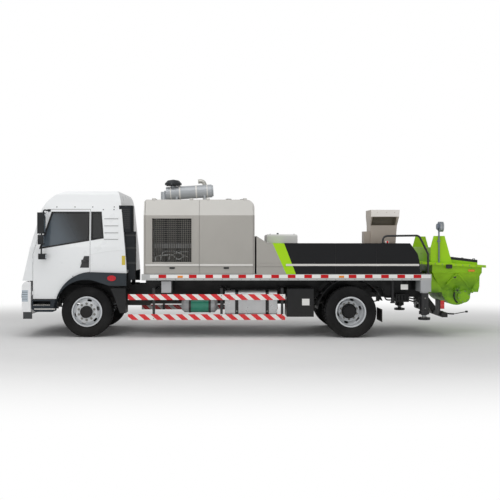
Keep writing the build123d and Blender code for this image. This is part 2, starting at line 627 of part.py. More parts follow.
# Fuel tank on the left: rounded aluminium box with two straps on hangers from the rail
TANK_X0 = at_x(2726.0)
TANK_X1 = at_x(3758.0)
TANK_Y0 = -1130.0
TANK_Y1 = -500.0
TANK_Z0 = 385.0
TANK_Z1 = 920.0
TANK_ROUND = 95.0
STRAP_W = 60.0
STRAP_T = 6.0
STRAP_STATIONS = (2930.0, 3530.0)

with BuildPart() as fuel_tank:
    block(TANK_X0, TANK_X1, TANK_Y0, TANK_Y1, TANK_Z0, TANK_Z1)
    fillet(fuel_tank.edges().filter_by(Axis.X), radius=TANK_ROUND)
    for station in STRAP_STATIONS:
        with BuildSketch(Plane.YZ.offset(at_x(station))) as strap:
            with Locations(((TANK_Y0 + TANK_Y1) / 2, (TANK_Z0 + TANK_Z1) / 2)):
                RectangleRounded(TANK_Y1 - TANK_Y0 + 2 * STRAP_T, TANK_Z1 - TANK_Z0 + 2 * STRAP_T,
                                 TANK_ROUND + STRAP_T)
        extrude(strap.sketch, amount=STRAP_W)
        block(at_x(station), at_x(station) + STRAP_W, TANK_Y1, -RAIL_Y, TANK_Z0 + TANK_ROUND,
              TANK_Z1)
keep(fuel_tank, "fuel_tank")

# Air tank on the left: steel cylinder with domed ends under two saddles
AIR_R = 150.0
AIR_X0 = at_x(1866.0)
AIR_X1 = at_x(2580.0)
AIR_Y = -960.0
AIR_Z = 632.0
AIR_DOME = 60.0
SADDLE_STATIONS = (2014.0, 2404.0)
SADDLE_L = 40.0

with BuildPart() as air_tank:
    with BuildSketch(Plane.XY.offset(AIR_Z)) as half_tank:
        with BuildLine():
            Polyline((AIR_X0, AIR_Y), (AIR_X0, AIR_Y + AIR_R - AIR_DOME),
                     (AIR_X0 + AIR_DOME, AIR_Y + AIR_R), (AIR_X1 - AIR_DOME, AIR_Y + AIR_R),
                     (AIR_X1, AIR_Y + AIR_R - AIR_DOME), (AIR_X1, AIR_Y), close=True)
        make_face()
    revolve(half_tank.sketch, axis=Axis((0, AIR_Y, AIR_Z), (1, 0, 0)))
    for station in SADDLE_STATIONS:
        bar_x(at_x(station), at_x(station) + SADDLE_L, AIR_Y, AIR_Z, AIR_R + STRAP_T)
        block(at_x(station), at_x(station) + SADDLE_L, AIR_Y, -RAIL_Y,
              AIR_Z + AIR_R - STRAP_W, AIR_Z + AIR_R)
keep(air_tank, "air_tank")

# Tool box behind the left guards, battery box on the right, both on hangers from the rails
BOX_ROWS = {
    # side, first and last station, y near the rail, y outside, z low, z high
    "tools": (LEFT, 3944.0, 4473.0, 560.0, 1190.0, 413.0, 964.0),
    "batteries": (RIGHT, 1900.0, 2500.0, 560.0, 1150.0, 420.0, 900.0),
}
BOX_LID_GAP = 12.0

with BuildPart() as tool_boxes:
    for side, first, last, y0, y1, z0, z1 in BOX_ROWS.values():
        block(at_x(first), at_x(last), side * y0, side * y1, z0, z1)
        block(at_x(first) + BOX_LID_GAP, at_x(last) - BOX_LID_GAP, side * y1,
              side * (y1 + BOX_LID_GAP), z0 + BOX_LID_GAP, z1 - BOX_LID_GAP)
        for station in (first + STRAP_W, last - 2 * STRAP_W):
            block(at_x(station), at_x(station) + STRAP_W, side * RAIL_Y, side * y0,
                  z1 - 2 * STRAP_W, z1 - STRAP_W)
keep(tool_boxes, "tool_boxes")

# Deck frame: box rails on the chassis, cross bearers and the outer deck rails
DECK_X0 = at_x(1092.0)
DECK_X1 = at_x(6776.0)
DECK_Z0 = 1130.0
DECK_Z1 = 1250.0
DECK_Y = 1220.0
DECK_RAIL_W = 60.0
SUB_RAIL_W = 70.0
SUB_TOP = 1240.0
SUB_X1 = at_x(6840.0)
BEARERS = {
    # station: distance of its inner end from the middle; those under the pump stop at the rails
    1127.0: 0.0, 1950.0: 0.0, 2750.0: 0.0, 3330.0: 0.0, 4250.0: 0.0,
    5050.0: RAIL_Y, 5850.0: RAIL_Y, 6741.0: RAIL_Y,
}
BEARER_HALF = 35.0
BEARER_Z0 = 1160.0

with BuildPart() as deck_frame:
    for side in SIDES.values():
        block(DECK_X0, SUB_X1, side * (RAIL_Y - SUB_RAIL_W), side * RAIL_Y, RAIL_Z1, SUB_TOP)
        block(DECK_X0, DECK_X1, side * (DECK_Y - DECK_RAIL_W), side * DECK_Y, DECK_Z0, DECK_Z1)
        for station, inner_y in BEARERS.items():
            block(at_x(station) - BEARER_HALF, at_x(station) + BEARER_HALF, side * inner_y,
                  side * (DECK_Y - DECK_RAIL_W), BEARER_Z0, SUB_TOP)
keep(deck_frame, "deck_frame")

# Power unit housing: folded sheet shell, gull-wing doors along both sides
HOOD_X0 = at_x(1132.0)
HOOD_X1 = at_x(3311.0)
HOOD_Z0 = DECK_Z1
HOOD_SHOULDER_Z = 2408.0
HOOD_Z1 = 2722.0
HOOD_Y = 1200.0
HOOD_TOP_Y = 1070.0
HOOD_SHEET = 25.0
HOOD_NOSE = 40.0
HOOD_TAIL_R = 170.0
HOOD_POST_X = at_x(2224.0)
HOOD_POST_HALF = 20.0


def hood_form(inset):
    """Closed form of the housing, its sheets moved inwards by inset; the inset form runs on below."""
    low = HOOD_Z0 - 3 * inset
    with BuildSketch(Plane.YZ.offset(HOOD_X0 + inset)) as section:
        with BuildLine():
            Polyline((-HOOD_Y, low), (-HOOD_Y, HOOD_SHOULDER_Z), (-HOOD_TOP_Y, HOOD_Z1),
                     (HOOD_TOP_Y, HOOD_Z1), (HOOD_Y, HOOD_SHOULDER_Z), (HOOD_Y, low), close=True)
        make_face()
        if inset > 0:
            offset(amount=-inset, kind=Kind.INTERSECTION)
    length = HOOD_X1 - HOOD_X0 - 2 * inset
    body = extrude(section.sketch, amount=length, mode=Mode.PRIVATE)
    tail = HOOD_TAIL_R - inset
    front = HOOD_X0 + inset
    rear = HOOD_X1 - inset
    top = HOOD_Z1 - inset
    with BuildSketch(Plane.XZ.offset(-HOOD_Y)) as side_view:
        with BuildLine():
            Polyline((rear, top - tail), (rear, low), (front, low), (front, top - HOOD_NOSE),
                     (front + HOOD_NOSE, top), (rear - tail, top))
            RadiusArc((rear - tail, top), (rear, top - tail), tail)
        make_face()
    mask = extrude(side_view.sketch, amount=2 * HOOD_Y, mode=Mode.PRIVATE)
    return body & mask


HOOD_HINGE_Y = HOOD_TOP_Y - MOVE_GAP / 2
HOOD_HINGE_Z = HOOD_Z1 + 16.0
HOOD_HINGE_INSET = 160.0


def hood_hinge_places():
    """Middle of each hinge along the housing, by the span of its door."""
    return {name: (x0 + HOOD_HINGE_INSET, x1 - HOOD_HINGE_INSET)
            for name, (x0, x1) in DOOR_SPANS.items()}


hood_outside = hood_form(0.0)
hood_inside = hood_form(HOOD_SHEET)
post_inside = hood_form(HOOD_SHEET + 60.0)
DOOR_SPANS = {
    "front": (HOOD_X0 + HOOD_SHEET + MOVE_GAP, HOOD_POST_X - MOVE_GAP / 2),
    "rear": (HOOD_POST_X + MOVE_GAP / 2, HOOD_X1 - HOOD_SHEET - MOVE_GAP),
}
HOOD_DOOR_Z0 = HOOD_Z0 + MOVE_GAP

with BuildPart() as hood_shell:
    add(hood_outside)
    add(hood_inside, mode=Mode.SUBTRACT)
    for side in SIDES.values():
        block(DOOR_SPANS["front"][0] - MOVE_GAP, DOOR_SPANS["rear"][1] + MOVE_GAP,
              side * (HOOD_TOP_Y - MOVE_GAP), side * (HOOD_Y + 1), HOOD_Z0 - 1, HOOD_Z1 + 1,
              mode=Mode.SUBTRACT)
    post_ring = hood_form(HOOD_SHEET + MOVE_GAP)
    with BuildPart(mode=Mode.PRIVATE) as post:
        add(post_ring)
        add(post_inside, mode=Mode.SUBTRACT)
        with Locations((HOOD_POST_X, 0.0, (HOOD_Z0 + HOOD_Z1) / 2)):
            Box(2 * HOOD_POST_HALF, 2 * HOOD_Y, HOOD_Z1 - HOOD_Z0, mode=Mode.INTERSECT)
    add(post.part)
    block(HOOD_POST_X - HOOD_POST_HALF, HOOD_POST_X + HOOD_POST_HALF, -HOOD_TOP_Y + 60,
          HOOD_TOP_Y - 60, HOOD_Z1 - HOOD_SHEET - MOVE_GAP - 1, HOOD_Z1 - HOOD_SHEET + 1)
    for side in SIDES.values():
        for x in [x for pair in hood_hinge_places().values() for x in pair]:
            for end in (-1, 1):
                lug_x0 = x + end * (HINGE_HALF + HINGE_PLAY)
                lug_x1 = lug_x0 + end * HINGE_LUG
                bar_x(lug_x0, lug_x1, side * HOOD_HINGE_Y, HOOD_HINGE_Z, HINGE_R)
                block(lug_x0, lug_x1, side * (HOOD_HINGE_Y - HINGE_LEAF),
                      side * (HOOD_TOP_Y - MOVE_GAP), HOOD_Z1 - HOOD_SHEET / 2, HOOD_HINGE_Z)
            bar_x(x - HINGE_HALF - HINGE_LUG, x + HINGE_HALF + HINGE_LUG,
                  side * HOOD_HINGE_Y, HOOD_HINGE_Z, HINGE_PIN_R)
    for first, last, height in ((2741.0, 2857.0, 30.0), (3025.0, 3141.0, 22.0)):
        with Locations(((at_x(first) + at_x(last)) / 2, -600.0, HOOD_Z1 + height / 2)):
            Cylinder((last - first) / 2, height)
keep(hood_shell, "hood_shell")

# Gull-wing doors: one folded leaf with the slanted shoulder, moulding strip and, in front, a grille
STRIP_Z0 = 1407.0
STRIP_Z1 = 1456.0
STRIP_T = 12.0
GRILLE_X0 = at_x(1300.0)
GRILLE_X1 = at_x(2071.0)
GRILLE_Z0 = 1490.0
GRILLE_Z1 = 2343.0
GRILLE_BAR = 10.0
GRILLE_BAR_COUNT = 16
GRILLE_CROSS_COUNT = 3
LATCH_W = 90.0
LATCH_H = 26.0
LATCH_T = 10.0
LATCH_Z = 1372.0

for side_name, side in SIDES.items():
    for span_name, (x0, x1) in DOOR_SPANS.items():
        with BuildPart() as hood_door:
            add(hood_outside)
            add(hood_inside, mode=Mode.SUBTRACT)
            with Locations(((x0 + x1) / 2, side * (HOOD_TOP_Y + HOOD_Y) / 2,
                            (HOOD_DOOR_Z0 + HOOD_Z1) / 2)):
                Box(x1 - x0, HOOD_Y - HOOD_TOP_Y, HOOD_Z1 - HOOD_DOOR_Z0, mode=Mode.INTERSECT)
            block(x0, x1, side * HOOD_Y, side * (HOOD_Y + STRIP_T), STRIP_Z0, STRIP_Z1)
            latch_x = (x0 + x1) / 2
            block(latch_x - LATCH_W / 2, latch_x + LATCH_W / 2, side * HOOD_Y,
                  side * (HOOD_Y + LATCH_T), LATCH_Z - LATCH_H / 2, LATCH_Z + LATCH_H / 2)
            for x in hood_hinge_places()[span_name]:
                bar_x(x - HINGE_HALF, x + HINGE_HALF, side * HOOD_HINGE_Y, HOOD_HINGE_Z, HINGE_R)
                block(x - HINGE_HALF, x + HINGE_HALF, side * HOOD_TOP_Y,
                      side * (HOOD_TOP_Y + HINGE_R), HOOD_Z1 - HOOD_SHEET, HOOD_HINGE_Z)
                bar_x(x - HINGE_HALF - 1, x + HINGE_HALF + 1, side * HOOD_HINGE_Y, HOOD_HINGE_Z,
                      HINGE_PIN_R + RUN_FIT, mode=Mode.SUBTRACT)
            if span_name == "front":
                block(GRILLE_X0, GRILLE_X1, side * (HOOD_TOP_Y - 1), side * (HOOD_Y + 1),
                      GRILLE_Z0, GRILLE_Z1, mode=Mode.SUBTRACT)
                pitch = (GRILLE_X1 - GRILLE_X0) / (GRILLE_BAR_COUNT + 1)
                with Locations((0.0, side * (HOOD_Y - HOOD_SHEET / 2), (GRILLE_Z0 + GRILLE_Z1) / 2)):
                    with Locations([(GRILLE_X0 + pitch * (n + 1), 0.0, 0.0)
                                    for n in range(GRILLE_BAR_COUNT)]):
                        Box(GRILLE_BAR, GRILLE_BAR, GRILLE_Z1 - GRILLE_Z0)
                rise = (GRILLE_Z1 - GRILLE_Z0) / (GRILLE_CROSS_COUNT + 1)
                for n in range(GRILLE_CROSS_COUNT):
                    z = GRILLE_Z0 + rise * (n + 1)
                    block(GRILLE_X0, GRILLE_X1, side * (HOOD_Y - HOOD_SHEET),
                          side * (HOOD_Y - HOOD_SHEET / 2 - GRILLE_BAR / 2), z - GRILLE_BAR / 2,
                          z + GRILLE_BAR / 2)
        keep(hood_door, "hood_door_" + span_name + "_" + side_name)

# Power unit inside the housing: cooler packs behind the grilles, engine and pumps
UNIT_Z0 = SUB_TOP
COOLER_Y0 = 880.0
COOLER_Y1 = 1060.0

with BuildPart() as power_unit:
    block(at_x(1400.0), at_x(2950.0), -360.0, 360.0, UNIT_Z0, 2150.0)
    block(at_x(1320.0), at_x(2060.0), -COOLER_Y1, COOLER_Y1, 1760.0, 1850.0)
    for side in SIDES.values():
        block(at_x(1320.0), at_x(1360.0), side * COOLER_Y0, side * COOLER_Y1, UNIT_Z0, 2330.0)
        block(at_x(2020.0), at_x(2060.0), side * COOLER_Y0, side * COOLER_Y1, UNIT_Z0, 2330.0)
        block(at_x(1360.0), at_x(2020.0), side * COOLER_Y0, side * (COOLER_Y0 + 60.0),
              1760.0, 2330.0)
        block(at_x(1320.0), at_x(2060.0), side * 300.0, side * COOLER_Y1, UNIT_Z0, UNIT_Z0 + 60.0)
    bar_x(at_x(2940.0), at_x(3180.0), 0.0, 1600.0, 160.0)
keep(power_unit, "power_unit")

# Air cleaner on the housing's roof: tilted canister in two cradles, elbow and rain cap
CLEANER_R = 135.0
CLEANER_Y = -200.0
CLEANER_FRONT = (at_x(1500.0), 2890.0)
CLEANER_REAR = (at_x(2449.0), 2950.0)
CLEANER_TILT = math.degrees(math.atan2(CLEANER_REAR[1] - CLEANER_FRONT[1],
                                       CLEANER_REAR[0] - CLEANER_FRONT[0]))
CLEANER_LENGTH = math.dist(CLEANER_FRONT, CLEANER_REAR)
CRADLE_STATIONS = (1700.0, 2280.0)
CRADLE_L = 40.0
ELBOW_R = 70.0
RAIN_CAP = [(0.0, 2930.0), (55.0, 2930.0), (55.0, 3050.0), (170.0, 3067.0), (170.0, 3110.0),
            (120.0, 3165.0), (0.0, 3188.0)]
RAIN_CAP_X = at_x(1643.0)

with BuildPart() as air_cleaner:
    axis_plane = Plane(origin=(CLEANER_FRONT[0], CLEANER_Y, CLEANER_FRONT[1]),
                       z_dir=(math.cos(math.radians(CLEANER_TILT)), 0.0,
                              math.sin(math.radians(CLEANER_TILT))))
    with BuildSketch(axis_plane):
        Circle(CLEANER_R)
    extrude(amount=CLEANER_LENGTH)
    with BuildSketch(axis_plane.offset(CLEANER_LENGTH)):
        Circle(CLEANER_R - 20)
    extrude(amount=30.0)
    for station in CRADLE_STATIONS:
        block(at_x(station), at_x(station) + CRADLE_L, CLEANER_Y - CLEANER_R * 0.8,
              CLEANER_Y + CLEANER_R * 0.8, HOOD_Z1, CLEANER_FRONT[1] - 20)
    elbow = [(CLEANER_FRONT[0] + 20, CLEANER_Y, CLEANER_FRONT[1]),
             (at_x(1383.0) + ELBOW_R, CLEANER_Y, CLEANER_FRONT[1] - 4),
             (at_x(1383.0) + ELBOW_R, CLEANER_Y, HOOD_Z1)]
    block(at_x(1383.0), at_x(1383.0) + 2 * ELBOW_R, CLEANER_Y - ELBOW_R, CLEANER_Y + ELBOW_R,
          HOOD_Z1, HOOD_Z1 + 20)
    bar_z(elbow[1][0], CLEANER_Y, HOOD_Z1, elbow[1][2] + ELBOW_R * 0.6, ELBOW_R)
    bar_x(elbow[1][0], elbow[0][0], CLEANER_Y, elbow[0][2], ELBOW_R * 0.9)
    with BuildSketch(Plane.XZ.offset(-CLEANER_Y)) as cap:
        with BuildLine():
            Polyline(*[(RAIN_CAP_X + r, z) for r, z in RAIN_CAP], close=True)
        make_face()
    revolve(cap.sketch, axis=Axis((RAIN_CAP_X, CLEANER_Y, 0.0), (0, 0, 1)))
keep(air_cleaner, "air_cleaner")

# Exhaust stack: upright pipe from the roof, its open end turned forwards
STACK_R = 45.0
STACK_WALL = 4.0
STACK_X = at_x(2285.0)
STACK_Y = 330.0
STACK_TOP = 3249.0
STACK_BEND = 90.0
STACK_FOOT_R = 80.0

with BuildPart() as exhaust_stack:
    stack_path = [(STACK_X, STACK_Y, HOOD_Z1 + 12), (STACK_X, STACK_Y, STACK_TOP - STACK_R),
                  (at_x(2140.0), STACK_Y, STACK_TOP - STACK_R - 20)]
    bent_tube(stack_path, STACK_BEND, STACK_R)
    bent_tube(stack_path, STACK_BEND, STACK_R - STACK_WALL, mode=Mode.SUBTRACT)
    bar_z(STACK_X, STACK_Y, HOOD_Z1, HOOD_Z1 + 12, STACK_FOOT_R)
keep(exhaust_stack, "exhaust_stack")

# Rear cover over the pump: side boards and closed top, wedge against the housing, open tail
COVER_X0 = at_x(3347.0)
COVER_Z0 = DECK_Z1
COVER_Z1 = 1857.0
COVER_Y = 1200.0
COVER_SHEET = 20.0
COVER_WEDGE_Z = 2000.0
COVER_WEDGE_X = at_x(3572.0)
COVER_TAIL = [(at_x(6360.0), COVER_Z1), (at_x(6510.0), 1650.0), (at_x(6553.0), 1458.0),
              (at_x(6560.0), COVER_Z0)]
HUMP = (at_x(3580.0), at_x(4207.0), 560.0, 2040.0)


def cover_outline(inset):
    """Side outline of the cover, moved inwards by inset at front and top, open below."""
    tail = [(x, z - inset) if z > COVER_Z0 else (x, z - 3 * inset) for x, z in COVER_TAIL]
    low = COVER_Z0 - 3 * inset
    return [(COVER_X0 + inset, low), (COVER_X0 + inset, COVER_WEDGE_Z - inset * 1.2),
            (COVER_WEDGE_X, COVER_Z1 - inset)] + tail


with BuildPart() as rear_cover:
    side_plate(cover_outline(0.0), -COVER_Y, COVER_Y)
    side_plate(cover_outline(COVER_SHEET), COVER_SHEET - COVER_Y, COVER_Y - COVER_SHEET,
               mode=Mode.SUBTRACT)
    block(at_x(6500.0), at_x(6600.0), COVER_SHEET - COVER_Y, COVER_Y - COVER_SHEET,
          COVER_Z0 - 1, 1640.0, mode=Mode.SUBTRACT)
    hump_x0, hump_x1, hump_y, hump_z = HUMP
    block(hump_x0, hump_x1, -hump_y, hump_y, COVER_Z1 - COVER_SHEET, hump_z)
    hump_rim = rear_cover.faces().sort_by(Axis.Z)[-1].edges()
    fillet(hump_rim, radius=40.0)
    block(hump_x0 + COVER_SHEET, hump_x1 - COVER_SHEET, COVER_SHEET - hump_y, hump_y - COVER_SHEET,
          COVER_Z1 - COVER_SHEET - 1, hump_z - COVER_SHEET, mode=Mode.SUBTRACT)
    for side in SIDES.values():
        block(COVER_X0, at_x(6540.0), side * COVER_Y, side * (COVER_Y + STRIP_T),
              STRIP_Z0, STRIP_Z1)
keep(rear_cover, "rear_cover")

# Cooler cowl on the cover: sheet housing whose visor flares out over its left face
COWL_FACE_Y = -800.0
COWL_LIP_Y = -950.0
COWL_Y1 = -350.0
COWL_Z1 = 2524.0
VISOR_FOOT_Z = 2215.0
VISOR_LIP_Z = 2390.0
COWL_SHEET = 15.0
COWL_SIDE = [(at_x(5657.0), COVER_Z1), (at_x(5657.0), VISOR_FOOT_Z), (at_x(5640.0), VISOR_LIP_Z),
             (at_x(5640.0), COWL_Z1), (at_x(6212.0), COWL_Z1), (at_x(6160.0), COVER_Z1)]
COWL_SECTION = [(COWL_FACE_Y, COVER_Z1), (COWL_FACE_Y, VISOR_FOOT_Z), (COWL_LIP_Y, VISOR_LIP_Z),
                (COWL_LIP_Y, COWL_Z1), (COWL_Y1, COWL_Z1), (COWL_Y1, COVER_Z1)]
COWL_BOX_X0 = at_x(5535.0)
COWL_BOX_Z1 = 2095.0
COWL_BOX_Y = (-760.0, -480.0)

with BuildPart() as cooler_cowl:
    side_plate(COWL_SIDE, COWL_LIP_Y, COWL_Y1)
    cross_plate(COWL_SECTION, at_x(5600.0), at_x(6250.0), mode=Mode.INTERSECT)
    mouth_x0, mouth_x1 = at_x(5657.0) + COWL_SHEET, at_x(6164.0) - COWL_SHEET
    mouth = [(COWL_LIP_Y + COWL_SHEET, VISOR_LIP_Z + 2), (COWL_LIP_Y + COWL_SHEET, COWL_Z1 - COWL_SHEET),
             (COWL_Y1 - 250, COWL_Z1 - COWL_SHEET), (COWL_Y1 - 250, VISOR_FOOT_Z + 10),
             (COWL_FACE_Y + COWL_SHEET, VISOR_FOOT_Z + 10), (COWL_FACE_Y - 40, VISOR_FOOT_Z - 10),
             (COWL_LIP_Y - 20, VISOR_LIP_Z - 30)]
    cross_plate(mouth, mouth_x0, mouth_x1, mode=Mode.SUBTRACT)
    block(COWL_BOX_X0, at_x(5657.0) + 5, *COWL_BOX_Y, COVER_Z1, COWL_BOX_Z1)
keep(cooler_cowl, "cooler_cowl")

# Handrail by the hopper: bent tube on the cover's left edge, down to the deck
HANDRAIL_R = 20.0
HANDRAIL_Y = -1120.0

with BuildPart() as handrail:
    bent_tube([(at_x(5840.0), HANDRAIL_Y, COVER_Z1 + 8), (at_x(5840.0), HANDRAIL_Y, 2000.0),
               (at_x(6553.0), HANDRAIL_Y, 2010.0), (at_x(6733.0), HANDRAIL_Y, 1650.0),
               (at_x(6733.0), HANDRAIL_Y, DECK_Z0 + 130.0)], 90.0, HANDRAIL_R)
    bar_z(at_x(5840.0), HANDRAIL_Y, COVER_Z1, COVER_Z1 + 8, 2 * HANDRAIL_R)
    block(at_x(6700.0), at_x(6766.0), HANDRAIL_Y - 60, HANDRAIL_Y + 30, DECK_Z1,
          DECK_Z1 + 12)
keep(handrail, "handrail")

# Pump: two material cylinders fed by two drive cylinders through a water box
PUMP_TILT = 7.0
PUMP_X = at_x(7080.0)
PUMP_Z = 1105.0
PUMP_Y = 160.0
MATERIAL_R = 115.0
DRIVE_CYL_R = 62.0
MATERIAL_LENGTH = 2300.0
DRIVE_LENGTH = at_x(4352.0) - at_x(3402.0)
WATER_BOX_L = 420.0
PUMP_FEET = (4950.0, 5600.0)


def pump_height(x):
    """Height of the pump's centre line above a place along the vehicle."""
    return PUMP_Z + (PUMP_X - x) * math.tan(math.radians(PUMP_TILT))


def pump_bar(x0, x1, y, radius):
    """Round bar along the tilted pump line between two stations."""
    run = Vector(x1 - x0, 0.0, pump_height(x1) - pump_height(x0))
    base = Plane(origin=(x0, y, pump_height(x0)), z_dir=run)
    with BuildSketch(base) as section:
        Circle(radius)
    extrude(section.sketch, amount=run.length)


with BuildPart() as pump_cylinders:
    box_x1 = PUMP_X - MATERIAL_LENGTH
    for side in SIDES.values():
        pump_bar(box_x1 - 10, PUMP_X, side * PUMP_Y, MATERIAL_R)
        pump_bar(box_x1 - WATER_BOX_L - DRIVE_LENGTH, box_x1 - WATER_BOX_L + 10, side * PUMP_Y,
                 DRIVE_CYL_R)
    block(box_x1 - WATER_BOX_L, box_x1, -PUMP_Y - MATERIAL_R, PUMP_Y + MATERIAL_R,
          SUB_TOP, pump_height(box_x1) + MATERIAL_R + 20)
    for station in PUMP_FEET:
        block(at_x(station), at_x(station) + SADDLE_L, -RAIL_Y, RAIL_Y, SUB_TOP,
              pump_height(at_x(station)))
keep(pump_cylinders, "pump_cylinders")

# Hopper: collar, tapered tub and round trough in plate, with a sloping rim flange and splash guard
TROUGH_X = at_x(7440.0)
TROUGH_Z = 900.0
TROUGH_R = 300.0
TROUGH_Y = 600.0
COLLAR_X0 = at_x(6900.0)
COLLAR_X1 = at_x(7900.0)
COLLAR_Y = 790.0
COLLAR_Z0 = 1270.0
HOPPER_WALL = 15.0
RIM_X0 = at_x(6628.0)
RIM_X1 = REAR_AXLE_X + REAR_OVERHANG
RIM_Y = 850.0
RIM_TOP_FRONT = 1491.0
RIM_TOP_REAR = 1415.0
RIM_T = 50.0
RIM_SKIN = 12.0
SWING_R = 95.0
OUTLET_Z = 910.0
OUTLET_FACE_X = TROUGH_X + TROUGH_R + 60.0
OUTLET_FLANGE_R = 120.0
OUTLET_FLANGE_T = 30.0
AGITATOR_R = 30.0
BOSS_R = 60.0
BOSS_T = 50.0


def rim_top(x):
    """Height of the sloping rim flange."""
    share = (x - RIM_X0) / (RIM_X1 - RIM_X0)
    return RIM_TOP_FRONT + (RIM_TOP_REAR - RIM_TOP_FRONT) * share


def hopper_form(inset, top):
    """Closed form of the hopper, its plates moved inwards by inset, up to a height."""
    with BuildPart() as form:
        block(COLLAR_X0 + inset, COLLAR_X1 - inset, inset - COLLAR_Y, COLLAR_Y - inset,
              COLLAR_Z0, top)
        with BuildSketch(Plane.XY.offset(COLLAR_Z0)):
            with Locations(((COLLAR_X0 + COLLAR_X1) / 2, 0.0)):
                Rectangle(COLLAR_X1 - COLLAR_X0 - 2 * inset, 2 * (COLLAR_Y - inset))
        with BuildSketch(Plane.XY.offset(TROUGH_Z)):
            with Locations((TROUGH_X, 0.0)):
                Rectangle(2 * (TROUGH_R - inset), 2 * (TROUGH_Y - inset))
        loft(ruled=True)
        bar_y(TROUGH_X, inset - TROUGH_Y, TROUGH_Y - inset, TROUGH_Z, TROUGH_R - inset)
    return form.part


# Grate: barred lid over the hopper, hinged on a cross shaft in front, resting on a curb
GRATE_SHAFT_X = at_x(6938.0)
GRATE_SHAFT_Z = 1600.0
GRATE_SHAFT_R = 18.0
GRATE_X1 = at_x(7862.0)
GRATE_SLOPE = -0.118
GRATE_HALF_T = 28.0
GRATE_Y = 630.0
GRATE_FRAME_W = 30.0
GRATE_BAR_W = 12.0
GRATE_BARS = 9
LUG_Y0 = 650.0
LUG_T = 18.0
CURB_T = 15.0
GUARD_SHEET = 15.0
GUARD_FRONT_X = at_x(6885.0)
GUARD_FRONT_Z = 1776.0
WING_Y = 765.0
WING_TOP = 2005.0


def grate_mid(x):
    """Height of the grate's middle plane."""
    return GRATE_SHAFT_Z + (x - GRATE_SHAFT_X) * GRATE_SLOPE


def rim_slab(inset, drop):
    """Outline of the rim's slab, its ends moved inwards by inset and lowered by drop."""
    return [(RIM_X0 + inset, rim_top(RIM_X0 + inset) - drop),
            (RIM_X1 - inset, rim_top(RIM_X1 - inset) - drop),
            (RIM_X1 - inset, rim_top(RIM_X1) - RIM_T - inset),
            (RIM_X0 + inset, rim_top(RIM_X0) - RIM_T - inset)]


with BuildPart() as hopper_rim:
    side_plate(rim_slab(0.0, 0.0), -RIM_Y, RIM_Y)
    side_plate(rim_slab(RIM_SKIN, RIM_SKIN), RIM_SKIN - RIM_Y, RIM_Y - RIM_SKIN,
               mode=Mode.SUBTRACT)

